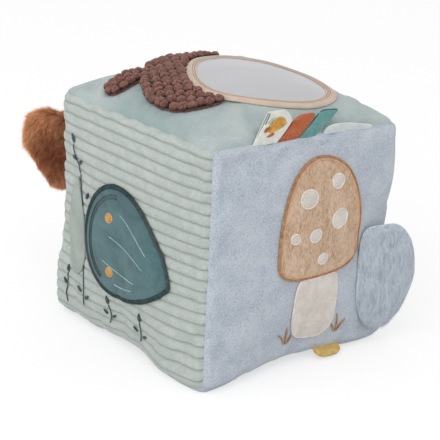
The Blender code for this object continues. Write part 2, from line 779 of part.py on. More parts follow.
def tape_loop(name, width, height, shear, crest, material, parent):
    """A folded tape: a flat loop whose two layers are sewn together at a round foot."""
    bm = bmesh.new()
    bmesh.ops.create_circle(bm, segments=TAPE_STEPS, radius=1)
    bmesh.ops.create_circle(bm, segments=TAPE_STEPS, radius=1 / 2)
    bmesh.ops.bridge_loops(bm, edges=bm.edges[:])
    column = {vert: 0 for vert in bm.verts}
    rim = bm.faces[:]
    for number in range(TAPE_COLUMNS):
        grown = bmesh.ops.extrude_face_region(bm, geom=rim)["geom"]
        if number:
            bmesh.ops.delete(bm, geom=rim, context="FACES_ONLY")
        rim = [item for item in grown if isinstance(item, bmesh.types.BMFace)]
        column.update({item: number + 1 for item in grown if isinstance(item, bmesh.types.BMVert)})
    stitch = min(TAPE_STITCH, height / 3)
    for vert in bm.verts:
        across_share = column[vert] / TAPE_COLUMNS
        top = height * crest(across_share)
        angle = math.atan2(vert.co.x, -vert.co.y)
        share = (1 - math.cos(angle)) / 2
        hole = vert.co.length < 3 / 4
        low, high = (stitch * top / height, top - TAPE) if hole else (-TAPE_FOOT, top)
        level = low + (high - low) * share
        thickness = TAPE_FOOT + (TAPE_LOOP - TAPE_FOOT) * max(0, level) / height
        if hole:
            thickness -= TAPE
        across = math.copysign(abs(math.sin(angle)) ** 0.5, math.sin(angle)) * thickness
        place = width * (across_share - 1 / 2)
        vert.co = Vector((place + level * math.tan(shear), across, level))
    solid(name, bm, material, parent)


def seam_frame(face, edge, start, width, rise, outward):
    """A tape's place on a front seam: X along the seam, Z the way that the tape points."""
    left = skin(face, start / HALF, edge)
    right = skin(face, (start + width) / HALF, edge)
    x_axis = (right - left).normalized()
    z_axis = (rise - x_axis * rise.dot(x_axis)).normalized()
    y_axis = z_axis.cross(x_axis)
    origin = (left + right) / 2 + outward.normalized() * (TAPE_FOOT + CLEARANCE)
    frame = Matrix((x_axis, y_axis, z_axis)).transposed().to_4x4()
    return Matrix.Translation(origin) @ frame


def ribbon_tabs():
    """Three ribbon tabs and a blank label, side by side in the top front seam."""
    label_gap = LABEL_GAP + LABEL_HEIGHT * math.tan(TAB_SHEAR)
    tapes = (
        ("tab_white", WHITE_TAB_WIDTH, TAB_GAP, "white_tape",
         (WHITE_TAB_HEIGHT, WHITE_TAB_SHEAR, folded_crest)),
        ("tab_rust", RUST_TAB_WIDTH, TAB_GAP, "rust_tape", (TAB_HEIGHT, TAB_SHEAR, round_crest)),
        ("tab_teal", TEAL_TAB_WIDTH, label_gap, "teal_tape", (TAB_HEIGHT, TAB_SHEAR, cut_crest)),
        ("seam_label", LABEL_WIDTH, 0, "white_tape", (LABEL_HEIGHT, 0, arched_crest)),
    )
    rise = Vector((0, math.sin(TAB_LEAN), math.cos(TAB_LEAN)))
    outward = FRONT.normal + TOP.normal
    start = TABS_START_X
    for name, width, gap, material, form in tapes:
        frame = seam_frame(FRONT, 1, start, width, rise, outward)
        tape_loop(name, width, *form, material, make_pivot(f"{name}_pivot", frame))
        start += width + gap


def base_tab():
    """The ochre tab that slopes from the lower front seam to the floor."""
    start = BASE_TAB_X - BASE_TAB_WIDTH / 2
    edge = SEAM_RADIUS / 4 / HALF - 1
    outward = FRONT.normal + BASE.normal / 2
    flat = seam_frame(FRONT, edge, start, BASE_TAB_WIDTH, FRONT.normal, outward)
    drop = flat.translation.z - TAPE_LOOP - CLEARANCE
    droop = math.asin(drop / BASE_TAB_LENGTH)
    rise = Vector((0, -math.cos(droop), -math.sin(droop)))
    frame = seam_frame(FRONT, edge, start, BASE_TAB_WIDTH, rise, outward)
    pivot = make_pivot("base_tab_pivot", frame)
    tape_loop("base_tab", BASE_TAB_WIDTH, BASE_TAB_LENGTH, 0, tongue_crest, "ochre_tape", pivot)


face_panel("front_panel", FRONT, "blue_plush")
face_panel("top_panel", TOP, "green_velour")
face_panel("back_panel", BACK, "blue_plush")
face_panel("right_panel", RIGHT, "green_velour")
face_panel("base_panel", BASE, "blue_plush")
corduroy_panel()
pocket_cutter()
filling_half("filling_lower", False, bpy.data.objects["pocket_cutter"])
filling_half("filling_upper", True, bpy.data.objects["pocket_cutter"])
rattle_case()
for number in range(BEAD_COUNT):
    bead(number)
mirror_layer("mirror_pad", CLEARANCE, PAD_THICKNESS, "foam")
mirror_layer("mirror_sheet", MIRROR_BASE, MIRROR_THICKNESS, "mirror_film")
mirror_bezel()
acorn_cap()
acorn_stem()
mushroom()
corduroy_leaves()
lift_flap()
fur_tail()
ribbon_tabs()
base_tab()
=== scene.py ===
"""Looks of the soft activity block: cloth, thread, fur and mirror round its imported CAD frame.

Metres, +Z up, in the same frame as the CAD. Each sewn piece lies on one formula for the
stuffed cube's skin, which repeats the CAD's and adds the folds that a cloth simulation finds.
"""

import json
import logging
import math
from collections.abc import Callable, Sequence
from dataclasses import dataclass, field
from enum import Enum

import bmesh
import bpy
import numpy as np
from mathutils import Matrix, Vector
from mathutils.kdtree import KDTree


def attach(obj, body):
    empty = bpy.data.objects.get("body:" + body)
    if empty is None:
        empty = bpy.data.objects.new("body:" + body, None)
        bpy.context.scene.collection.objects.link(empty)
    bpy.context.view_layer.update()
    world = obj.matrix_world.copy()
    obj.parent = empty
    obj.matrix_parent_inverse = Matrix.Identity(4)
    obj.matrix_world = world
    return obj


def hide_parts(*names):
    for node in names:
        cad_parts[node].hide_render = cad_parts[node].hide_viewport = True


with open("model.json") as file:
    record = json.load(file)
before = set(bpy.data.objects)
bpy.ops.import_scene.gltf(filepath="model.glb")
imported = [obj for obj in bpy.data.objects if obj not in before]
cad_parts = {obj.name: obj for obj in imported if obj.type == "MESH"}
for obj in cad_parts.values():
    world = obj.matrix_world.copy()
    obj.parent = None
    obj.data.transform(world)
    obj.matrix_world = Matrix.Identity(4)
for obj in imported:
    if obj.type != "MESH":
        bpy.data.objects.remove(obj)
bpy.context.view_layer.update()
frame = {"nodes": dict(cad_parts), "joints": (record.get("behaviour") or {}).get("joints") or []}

LOG = logging.getLogger("activity_block")
Shape = Callable[[np.ndarray, np.ndarray], np.ndarray]
Outline = Callable[[np.ndarray], np.ndarray]
Value = bpy.types.NodeSocket | tuple | float

CLEARANCE = 0.0003
FABRIC = 0.0025
SOFT_EDGE = math.radians(50)
ASKEW = (0.31, -0.93, 0.21)
THREAD = 0.00042
SIM_FRAMES = 20
SIM_STIFFNESS = 15
SIM_BENDING = 0.6
SIM_QUALITY = 6


@dataclass(frozen=True)
class Face:
    """One side of the cube: its outward normal, its own right and up, and its crown."""

    normal: tuple[int, int, int]
    right: tuple[int, int, int]
    up: tuple[int, int, int]
    crown: float

    @property
    def axes(self) -> tuple[np.ndarray, ...]:
        """The normal, the right and the up, as arrays."""
        return tuple(np.array(way, float) for way in (self.normal, self.right, self.up))


class Side(Enum):
    """The six sides by name."""

    FRONT = Face((0, -1, 0), (1, 0, 0), (0, 0, 1), 0.0065)
    LEFT = Face((-1, 0, 0), (0, -1, 0), (0, 0, 1), 0.0065)
    BACK = Face((0, 1, 0), (-1, 0, 0), (0, 0, 1), 0.0065)
    RIGHT = Face((1, 0, 0), (0, 1, 0), (0, 0, 1), 0.0065)
    TOP = Face((0, 0, 1), (1, 0, 0), (0, 1, 0), 0.0174)
    BASE = Face((0, 0, -1), (1, 0, 0), (0, -1, 0), 0.006)


def unit(vectors: np.ndarray) -> np.ndarray:
    """Rows of vectors at length one."""
    return vectors / np.maximum(np.linalg.norm(vectors, axis=-1, keepdims=True), 1e-12)


def ease(share: np.ndarray) -> np.ndarray:
    """Crowd a grid's lines towards the seams, where the surface turns most."""
    return share * (3 - share * share) / 2


def smooth(share: np.ndarray) -> np.ndarray:
    """A share from 0 to 1 that starts and ends gently."""
    return share * share * (3 - 2 * share)


def ripple(spots: np.ndarray, pitch: float, seed: int, count: int = 7) -> np.ndarray:
    """Smooth bumps from -1 to 1 with about the given pitch.

    Args:
        spots: Rows of positions in metres.
        pitch: Distance from bump to bump.
        seed: Which set of bumps.
        count: Number of plane waves that are added up.

    Returns:
        The height at each spot.
    """
    draw = np.random.default_rng(seed)
    heading = unit(draw.normal(size=(count, 3))) * draw.uniform(0.7, 1.4, (count, 1))
    phase = draw.uniform(0, math.tau, count)
    return np.sin(spots @ heading.T * math.tau / pitch + phase).mean(axis=1) * math.sqrt(2)


@dataclass
class Skin:
    """The sewn surface of the stuffed cube."""

    half: float = 0.075
    seam_radius: float = 0.008
    seam_pull: float = 0.0015
    low_seam_bow: float = 0.0015
    low_seam_sag: float = 0.0012
    base_spread: float = 0.0028
    seam_rise: float = 0.0055
    slumps: tuple = (
        ((1, -1, 1), (0, -0.001, -0.0060)),
        ((-1, -1, 1), (0, 0.001, 0.0012)),
        ((1, 1, 1), (0, 0, -0.0060)),
        ((-1, 1, 1), (0, 0, -0.0040)),
    )
    soft_spots: tuple = (
        ((1, -1, 0.45), 0.55, (0.0032, -0.0012, 0)),
        ((1, -1, 1), 0.40, (-0.0010, 0, -0.0020)),
        ((1, -0.3, 1), 0.60, (0, 0, -0.0014)),
        ((0.5, 0.3, 1), 0.50, (0, 0, -0.0012)),
        ((-1, -0.56, -1), 0.38, (-0.0026, 0, -0.0022)),
        ((-0.1, -1, -1), 0.45, (0, 0.0010, 0.0030)),
        ((0.85, -1, -1), 0.40, (0.0010, -0.0030, -0.0010)),
        ((-1, -0.12, -1), 0.38, (0.0008, 0, 0.0034)),
        ((-0.85, -1, -1), 0.30, (0, -0.0015, -0.0016)),
        ((-0.35, 1, 1), 0.40, (0, 0, 0.0012)),
        ((-1, 1, -0.72), 0.32, (-0.0019, 0.0017, 0)),
    )
    pucker_reach: float = 0.0065
    pucker: float = 0.0004
    pucker_pitch: float = 0.019
    scallop: float = 0.0011
    scallop_pitch: float = 0.0185
    scallop_phase: float = 1.1
    lump: float = 0.00035
    lump_pitch: float = 0.034
    stiff_middle: tuple[float, float] = (0.003, -0.012)
    stiff_reach: tuple[float, float] = (0.048, 0.066)
    stiff_slack: float = 0.12
    seam_grip: float = 0.006
    fold_share: float = 0.75
    folds: dict = field(default_factory=dict)

    @property
    def middle(self) -> np.ndarray:
        """The middle of the cube."""
        return np.array((0, 0, self.half + self.seam_rise))

    def seam_draw(self, seam: np.ndarray) -> np.ndarray:
        """How far the middle of a seam is drawn, from the way that the seam looks."""
        if seam[2] >= 0:
            return seam * -self.seam_pull
        return np.array((seam[0] * self.low_seam_bow, seam[1] * self.low_seam_bow, -self.low_seam_sag))

    def sewn(self, side: Side, u: np.ndarray, v: np.ndarray) -> np.ndarray:
        """The CAD's own surface at shares u, v of a side, each from -1 to 1.

        Args:
            side: Which side.
            u: Shares along its right.
            v: Shares along its up.

        Returns:
            Rows of positions.
        """
        face = side.value
        normal, right, up = face.axes
        flat = self.half - self.seam_radius
        x, y = u * self.half, v * self.half
        core_x, core_y = np.clip(x, -flat, flat), np.clip(y, -flat, flat)
        turn = np.stack((x - core_x, y - core_y, np.full_like(x, self.seam_radius)), axis=1)
        turn = unit(turn) * self.seam_radius
        across, upward = 1 - u * u, 1 - v * v
        point = np.outer(core_x + turn[:, 0], right) + np.outer(core_y + turn[:, 1], up)
        point += np.outer(flat + turn[:, 2] + face.crown * across * upward, normal)
        for along, toward, share in ((u, right, upward), (v, up, across)):
            for sign in (-1, 1):
                weight = np.where(np.sign(along) == sign, share * np.abs(along) ** 3, 0)
                point += np.outer(weight, self.seam_draw(toward * sign + normal))
        place = np.outer(u, right) + np.outer(v, up) + normal
        for signs, move in self.slumps:
            share = np.prod((1 + np.array(signs) * place) / 2, axis=1)
            point += np.outer(share * share, move)
        for spot, reach, move in self.soft_spots:
            gap = np.linalg.norm(place - np.array(spot), axis=1) / reach
            point += np.outer(np.exp(-gap * gap), move)
        point[:, 2] -= self.base_spread * (1 - place[:, 2]) / 2
        point += self.middle
        return point

    def gathers(self, side: Side, u: np.ndarray, v: np.ndarray) -> np.ndarray:
        """How far the thread gathers the cloth in and out along the seams, and the filling's lumps."""
        normal, right, up = side.value.axes
        place = np.outer(u, right) + np.outer(v, up) + normal
        spots = place * self.half
        move = np.zeros_like(place)
        for first in range(3):
            second = (first + 1) % 3
            along = spots[:, 3 - first - second]
            for sign_a in (-1, 1):
                for sign_b in (-1, 1):
                    gap = np.hypot(place[:, first] - sign_a, place[:, second] - sign_b) * self.half
                    near = np.exp(-((gap / self.pucker_reach) ** 2))
                    seed = 11 + first + 3 * sign_a + 7 * sign_b
                    wave = ripple(spots, self.pucker_pitch, seed) * self.pucker
                    if (first, second) == (2, 0) and sign_a > 0 > sign_b:
                        turn = along * math.tau / self.scallop_pitch + self.scallop_phase
                        wave = wave + self.scallop * np.sin(turn)
                    end = 1 - np.abs(along / self.half) ** 6
                    move[:, first] += near * wave * end * sign_a
                    move[:, second] += near * wave * end * sign_b
        inner = (1 - u ** 4) * (1 - v ** 4)
        lumps = ripple(spots, self.lump_pitch, 5) * self.lump * inner
        return move + np.outer(lumps, normal)

    def point(self, side: Side, u: np.ndarray, v: np.ndarray) -> np.ndarray:
        """The finished surface: the CAD's, its gathers and the folds that the simulation found."""
        spots = self.sewn(side, u, v) + self.gathers(side, u, v)
        if side in self.folds:
            spots += self.fold(side, u, v) * self.slack(side, u, v)[:, None]
        if side is Side.BASE:
            spots[:, 2] = np.maximum(spots[:, 2], 0)
        return spots

    def slack(self, side: Side, u: np.ndarray, v: np.ndarray) -> np.ndarray:
        """How free the cloth is to fold: hardly at all round the mirror, which holds the top smooth."""
        if side is not Side.TOP:
            return np.ones_like(u)
        x, y = self.stiff_middle
        near, far = self.stiff_reach
        share = np.clip((np.hypot(u * self.half - x, v * self.half - y) - near) / (far - near), 0, 1)
        return self.stiff_slack + (1 - self.stiff_slack) * smooth(share)

    def fold(self, side: Side, u: np.ndarray, v: np.ndarray) -> np.ndarray:
        """The simulated move at shares u, v, read smoothly from the side's grid of moves."""
        grid = self.folds[side]
        last = grid.shape[0] - 1
        x, y = (np.clip((share + 1) / 2 * last, 0, last - 1e-6) for share in (u, v))
        column, row = x.astype(int), y.astype(int)
        right, up = (smooth(part - part.astype(int)) for part in (x, y))
        low = grid[column, row] * (1 - right)[:, None] + grid[column + 1, row] * right[:, None]
        high = grid[column, row + 1] * (1 - right)[:, None]
        high = high + grid[column + 1, row + 1] * right[:, None]
        return low * (1 - up)[:, None] + high * up[:, None]

    def boxed(
        self,
        steps: int,
        shape: Callable[[Side, np.ndarray, np.ndarray], np.ndarray],
    ) -> tuple[bmesh.types.BMesh, np.ndarray]:
        """A closed cube of square cells, each side placed by a shape.

        Args:
            steps: Cells along each side.
            shape: Places a side's shares u and v.

        Returns:
            The mesh, and where its vertices were on a cube of half size 1.
        """
        bm = bmesh.new()
        bmesh.ops.create_cube(bm, size=2)
        bmesh.ops.subdivide_edges(bm, edges=bm.edges[:], cuts=steps - 1, use_grid_fill=True)
        places = np.array([vert.co for vert in bm.verts])
        spots = np.zeros_like(places)
        for side in Side:
            mine, u, v = self.on_side(places, side)
            spots[mine] = shape(side, u, v)
        move_to(bm.verts, spots)
        return bm, places

    def settle(
        self,
        steps: int = 30,
        pressure: float = 4.0,
        growth: float = 0.022,
        cap: float = 0.0018,
    ) -> None:
        """Fill the sewn cover in a cloth simulation, and keep the folds that it finds.

        Args:
            steps: Cells along each side.
            pressure: The filling's pressure.
            growth: How much wider the cloth is than the form, as a share.
            cap: The furthest that a point may move, in metres.
        """
        bm, places = self.boxed(
            steps,
            lambda side, u, v: self.sewn(side, u, v) + self.gathers(side, u, v),
        )
        ranked = np.sort(np.abs(places), axis=1)
        gap = (1 - ranked[:, 1]) * self.half
        pins = np.clip(1.15 - gap / self.seam_grip, 0, 1)
        moves = inflated(bm, pins, pressure, growth, cap * 4)
        bm.free()
        for side in Side:
            mine, u, v = self.on_side(places, side)
            swell = (1 - u * u) * (1 - v * v)
            round_form = np.stack((swell, swell ** 2, (1 - u ** 8) * (1 - v ** 8)), axis=1)
            fold = moves[mine]
            whole = round_form @ np.linalg.lstsq(round_form, fold, rcond=None)[0]
            fold = (fold - whole) * self.fold_share
            length = np.linalg.norm(fold, axis=1, keepdims=True)
            fold = fold * np.minimum(1, cap / np.maximum(length, 1e-9))
            grid = np.zeros((steps + 1, steps + 1, 3))
            column, row = (np.rint((share + 1) / 2 * steps).astype(int) for share in (u, v))
            grid[column, row] = fold
            self.folds[side] = grid
            LOG.info("folds of %s: %.1f mm", side.name, float(length.max() * 1000))

    @staticmethod
    def on_side(places: np.ndarray, side: Side) -> tuple[np.ndarray, np.ndarray, np.ndarray]:
        """Which places of a cube of half size 1 lie on a side, and their shares along it."""
        mine = places @ np.array(side.value.normal) > 1 - 1e-4
        u, v = (places[mine] @ np.array(way) for way in (side.value.right, side.value.up))
        return mine, u, v

    def normals(self, side: Side, u: np.ndarray, v: np.ndarray) -> np.ndarray:
        """The surface's outward normals."""
        step = 1 / 256
        along = self.point(side, u + step, v) - self.point(side, u - step, v)
        upward = self.point(side, u, v + step) - self.point(side, u, v - step)
        return unit(np.cross(along, upward))

    def on_face(self, side: Side, spots: np.ndarray, lift: np.ndarray | float) -> np.ndarray:
        """Places on a side, given in metres from its middle, at heights above the cloth."""
        u, v = spots[:, 0] / self.half, spots[:, 1] / self.half
        heights = np.broadcast_to(lift, u.shape)[:, None]
        return self.point(side, u, v) + self.normals(side, u, v) * heights

    def inset(self, points: np.ndarray, depth: np.ndarray | float) -> np.ndarray:
        """The points as far in towards the cube's middle as a layer of this depth takes them."""
        share = np.broadcast_to(depth, points.shape[:1])[:, None] / self.half
        return self.middle + (points - self.middle) * (1 - share)


def move_to(verts: Sequence[bmesh.types.BMVert], spots: np.ndarray) -> None:
    """Move each vertex to its spot."""
    for vert, spot in zip(verts, spots):
        vert.co = spot


def marked(bm: bmesh.types.BMesh, values: Sequence[float] | np.ndarray) -> bmesh.types.BMesh:
    """The mesh with each vertex's value of the attribute reach, which a finish's groove reads as painted
    shade, or as painted light on lock tips.
    """
    layer = bm.verts.layers.float.new("reach")
    for vert, value in zip(bm.verts, values):
        vert[layer] = value
    return bm


def place_verts(verts: Sequence[bmesh.types.BMVert], shape: Shape) -> None:
    """Move vertices from their square grid places to where a shape puts them."""
    grid = np.array([vert.co[:2] for vert in verts])
    move_to(verts, shape(grid[:, 0], grid[:, 1]))


def sheet(
    columns: int,
    rows: int,
    outer: Shape,
    inner: Shape,
    weld: bool = False,
    reach: Shape | None = None,
) -> bmesh.types.BMesh:
    """A closed piece from a grid: one side placed by outer, the other by inner.

    Args:
        columns: Cells across.
        rows: Cells up.
        outer: Places the outer side, from grid shares -1 to 1.
        inner: Places the inner side.
        weld: Whether the two sides meet at the rim.
        reach: Gives the attribute reach of both sides, from grid shares.

    Returns:
        The piece's mesh, not yet turned out.
    """
    bm = bmesh.new()
    bmesh.ops.create_grid(bm, x_segments=columns, y_segments=rows, size=1)
    if reach:
        grid = np.array([vert.co[:2] for vert in bm.verts])
        marked(bm, reach(grid[:, 0], grid[:, 1]))
    near = bm.verts[:]
    copied = bmesh.ops.extrude_face_region(bm, geom=bm.faces[:])["geom"]
    far = [item for item in copied if isinstance(item, bmesh.types.BMVert)]
    place_verts(near, outer)
    place_verts(far, inner)
    if weld:
        bmesh.ops.remove_doubles(bm, verts=bm.verts, dist=CLEARANCE / 20)
    return bm


def ring(steps: int, rows: int, shape: Shape) -> bmesh.types.BMesh:
    """A closed tube from a grid whose edges meet where the shape brings them together."""
    bm = bmesh.new()
    bmesh.ops.create_grid(bm, x_segments=steps, y_segments=rows, size=1)
    place_verts(bm.verts[:], shape)
    bmesh.ops.remove_doubles(bm, verts=bm.verts, dist=1e-6)
    bmesh.ops.dissolve_degenerate(bm, edges=bm.edges, dist=1e-7)
    return bm


def scattered(room: Callable[[np.ndarray], np.ndarray], reach: float, pitch: float) -> np.ndarray:
    """Spots spread evenly over an area, each in the middle of its own patch of it.

    Args:
        room: Tells which points are in the area.
        reach: Half of a square that holds the area.
        pitch: Distance from spot to spot.

    Returns:
        The spots, each with how wide its patch is.
    """
    fine = np.arange(-reach, reach, pitch / 8)
    cells = np.stack([axis.ravel() for axis in np.meshgrid(fine, fine)], axis=1)
    cells = cells[room(cells)]
    rows = np.arange(-reach, reach, pitch * 0.87)
    spots = np.array([(x + number % 2 * pitch / 2, y) for number, y in enumerate(rows)
                      for x in np.arange(-reach, reach, pitch)])
    spots = spots[room(spots)]
    for _ in range(12):
        owner = np.linalg.norm(cells[:, None] - spots, axis=2).argmin(axis=1)
        kept, count = np.unique(owner, return_counts=True)
        spots = np.array([cells[owner == number].mean(axis=0) for number in kept])
    return np.column_stack((spots, np.sqrt(count) * pitch / 8))


def tube(path: np.ndarray, radius: float, rows: int = 6) -> bmesh.types.BMesh:
    """A thin closed cord along a path in space, thinned at both ends."""
    count = len(path) - 1
    ahead = unit(np.gradient(path, axis=0))
    across = unit(np.cross(ahead, ASKEW))
    above = np.cross(across, ahead)

    def shape(a: np.ndarray, b: np.ndarray) -> np.ndarray:
        """Wrap the grid round the path."""
        at = np.rint((a + 1) / 2 * count).astype(int)
        thin = radius * np.sqrt(np.clip(np.minimum(at, count - at) / 2, 0, 1))
        turn = b * math.pi
        wide, high = thin * np.cos(turn), thin * np.sin(turn)
        return path[at] + across[at] * wide[:, None] + above[at] * high[:, None]

    return turned_out(ring(count, rows, shape))


def turned_out(bm: bmesh.types.BMesh) -> bmesh.types.BMesh:
    """One closed shell with its faces pointing out."""
    bmesh.ops.recalc_face_normals(bm, faces=bm.faces)
    if bm.calc_volume(signed=True) < 0:
        bmesh.ops.reverse_faces(bm, faces=bm.faces)
    return bm


def gathered(shells: Sequence[bmesh.types.BMesh]) -> bmesh.types.BMesh:
    """Several shells as one mesh; each keeps the way that its faces point."""
    whole = bmesh.new()
    for shell in shells:
        mesh = bpy.data.meshes.new("shell")
        shell.to_mesh(mesh)
        shell.free()
        whole.from_mesh(mesh)
        bpy.data.meshes.remove(mesh)
    return whole


def crowd(one: bmesh.types.BMesh, count: int) -> bmesh.types.BMesh:
    """The mesh repeated, copy after copy, until there are count of it."""
    sizes = len(one.verts), len(one.edges), len(one.faces)
    have = 1
    while have < count:
        take = min(have, count - have)
        parts = (seq[:size * take] for seq, size in zip((one.verts, one.edges, one.faces), sizes))
        bmesh.ops.duplicate(one, geom=[item for part in parts for item in part])
        have += take
    return one


def disc(a: np.ndarray, b: np.ndarray) -> tuple[np.ndarray, np.ndarray]:
    """A square grid's place as a disc's: its share out from the middle, and its angle."""
    x = a * np.sqrt(1 - b * b / 2)
    y = b * np.sqrt(1 - a * a / 2)
    return np.minimum(1, np.hypot(x, y)), np.arctan2(y, x)


def oval(
    angle: np.ndarray,
    forward: float,
    back: float,
    side: float,
    power: float = 2,
    back_power: float = 2,
) -> np.ndarray:
    """Points of an oval's outline that may be longer, or squarer, one way than the other."""
    along, across = np.cos(angle), np.sin(angle)
    length = np.where(along > 0, forward, back)
    shape = np.where(along > 0, power, back_power)
    reach = (np.abs(along / length) ** shape + np.abs(across / side) ** shape) ** (-1 / shape)
    return np.stack((along * reach, across * reach), axis=1)


def leaf_form(angle: np.ndarray, half_length: float, half_width: float) -> np.ndarray:
    """Points of a leaf's outline, pointed at angle 0 and round at its foot."""
    width = 1.25 * half_width * np.abs(np.sin(angle / 2)) ** 0.7
    return np.stack((half_length * np.cos(angle), width * np.sin(angle)), axis=1)


def turned_to(points: np.ndarray, turn: float, centre: Sequence[float]) -> np.ndarray:
    """Turn points of an outline and move them to the outline's middle."""
    c, s = math.cos(turn), math.sin(turn)
    return points @ np.array(((c, s), (-s, c))) + np.array(centre)


def traced(outline: Outline, turn: float, centre: Sequence[float], steps: int = 360) -> np.ndarray:
    """An outline in place, as a path that comes round to its start."""
    return turned_to(outline(np.linspace(-math.pi, math.pi, steps + 1)[:-1]), turn, centre)


def curve(points: Sequence[Sequence[float]]) -> np.ndarray:
    """A smooth path through three points."""
    start, bend, end = (np.array(point) for point in points)
    share = np.linspace(0, 1, 41)[:, None]
    pull = 2 * bend - (start + end) / 2
    return start * (1 - share) ** 2 + pull * 2 * share * (1 - share) + end * share ** 2


def resampled(path: np.ndarray, pitch: float, closed: bool) -> np.ndarray:
    """The same path at even distances, about a pitch apart."""
    points = np.vstack((path, path[:1])) if closed else path
    lengths = np.concatenate(([0], np.cumsum(np.linalg.norm(np.diff(points, axis=0), axis=1))))
    count = max(4, round(lengths[-1] / pitch / 2) * 2)
    marks = np.linspace(0, lengths[-1], count + 1)
    return np.stack([np.interp(marks, lengths, points[:, axis]) for axis in (0, 1)], axis=1)


@dataclass(frozen=True)
class Stitch:
    """One line of embroidery: how wide and high it stands, and the pitch of its threads."""

    width: float
    height: float
    pitch: float = 0.0005
    ridge: float = 0.16
    ragged: float = 0.10
    rows: int = 8

    def band(
        self,
        skin: Skin,
        side: Side,
        path: np.ndarray,
        base: float | np.ndarray,
        closed: bool = False,
        taper: float = 1.5,
    ) -> bmesh.types.BMesh:
        """A raised line of thread along a path on a side.

        Args:
            skin: The surface that it lies on.
            side: Which side of the cube.
            path: Points in metres from the side's middle.
            base: How high above the cloth it starts.
            closed: Whether the path comes back to its start.
            taper: Widths from an open end over which the line thins.

        Returns:
            The closed band.
        """
        stations = resampled(path, self.pitch, closed)
        count = len(stations) - 1
        ahead = np.gradient(stations, axis=0)
        if closed:
            ahead[0] = ahead[-1] = stations[1] - stations[-2]
        ahead = unit(ahead)
        across = np.stack((-ahead[:, 1], ahead[:, 0]), axis=1)
        odd = np.arange(count + 1) % 2
        draw = np.random.default_rng(count)
        uneven = draw.uniform(-0.5, 0.5, count + 1)
        uneven[-1] = uneven[0]
        wide = self.width / 2 * (1 + self.ragged * (odd * 2 - 1 + uneven))
        high = self.height * (1 + self.ridge * (odd * 2 - 1))
        if not closed:
            reach = np.minimum(np.arange(count + 1), count - np.arange(count + 1)) * self.pitch
            thin = np.sqrt(np.clip(reach / (self.width * taper / 2), 0, 1))
            wide, high = wide * thin, high * thin

        def shape(a: np.ndarray, b: np.ndarray) -> np.ndarray:
            """Wrap the grid round the path."""
            at = np.rint((a + 1) / 2 * count).astype(int)
            turn = b * math.pi
            spots = stations[at] + across[at] * (wide[at] * np.cos(turn))[:, None]
            lift = base + high[at] * (np.sin(turn) + 0.3) / 1.3
            lift = np.where(np.sin(turn) < -1e-9, base, np.maximum(lift, base))
            points = skin.on_face(side, spots, lift)
            if not closed:
                for end in (0, count):
                    points[at == end] = points[at == end].mean(axis=0)
            return points

        return turned_out(ring(count, self.rows, shape))


def tone(code: str) -> tuple[float, float, float, float]:
    """A colour written as six hex digits, as the linear colour that a shader takes."""
    channels = [int(code[start:start + 2], 16) / 255 for start in (0, 2, 4)]
    linear = [part / 12.92 if part <= 0.04045 else ((part + 0.055) / 1.055) ** 2.4 for part in channels]
    return (*linear, 1)


def put(tree: bpy.types.NodeTree, kind: str, sockets: dict | None = None, **settings) -> bpy.types.Node:
    """Place a node.

    Args:
        tree: Where it goes.
        kind: Blender's name for it, without ShaderNode.
        sockets: Its inputs by name or number, each a value or another node's output.
        settings: Its own settings.

    Returns:
        The node.
    """
    made = tree.nodes.new(kind if kind.startswith("Node") else f"ShaderNode{kind}")
    for key, value in settings.items():
        setattr(made, key, value)
    for key, value in (sockets or {}).items():
        if isinstance(value, bpy.types.NodeSocket):
            tree.links.new(value, made.inputs[key])
        else:
            made.inputs[key].default_value = value
    return made


def mixed(
    tree: bpy.types.NodeTree,
    share: Value,
    first: Value,
    second: Value,
    blend: str = "MIX",
) -> bpy.types.NodeSocket:
    """The colour between two colours at a share, or their product."""
    node = put(tree, "Mix", {0: share, 6: first, 7: second}, data_type="RGBA", blend_type=blend)
    return node.outputs[2]


def spread(
    tree: bpy.types.NodeTree,
    value: Value,
    low: float,
    high: float,
    to: tuple[float, float] = (0, 1),
) -> bpy.types.NodeSocket:
    """A value's range stretched to another range, and held inside it."""
    sockets = {0: value, 1: low, 2: high, 3: to[0], 4: to[1]}
    return put(tree, "MapRange", sockets).outputs[0]


def maths(
    tree: bpy.types.NodeTree,
    operation: str,
    first: Value,
    second: Value = 0.0,
) -> bpy.types.NodeSocket:
    """One step of arithmetic."""
    return put(tree, "Math", {0: first, 1: second}, operation=operation).outputs[0]


def in_view(tree: bpy.types.NodeTree) -> bpy.types.NodeSocket:
    """One for the rays that show in the picture: seen, mirrored or let through."""
    path = put(tree, "LightPath")
    seen = maths(tree, "MAXIMUM", path.outputs["Is Camera Ray"], path.outputs["Is Glossy Ray"])
    return maths(tree, "MAXIMUM", seen, path.outputs["Is Transmission Ray"])


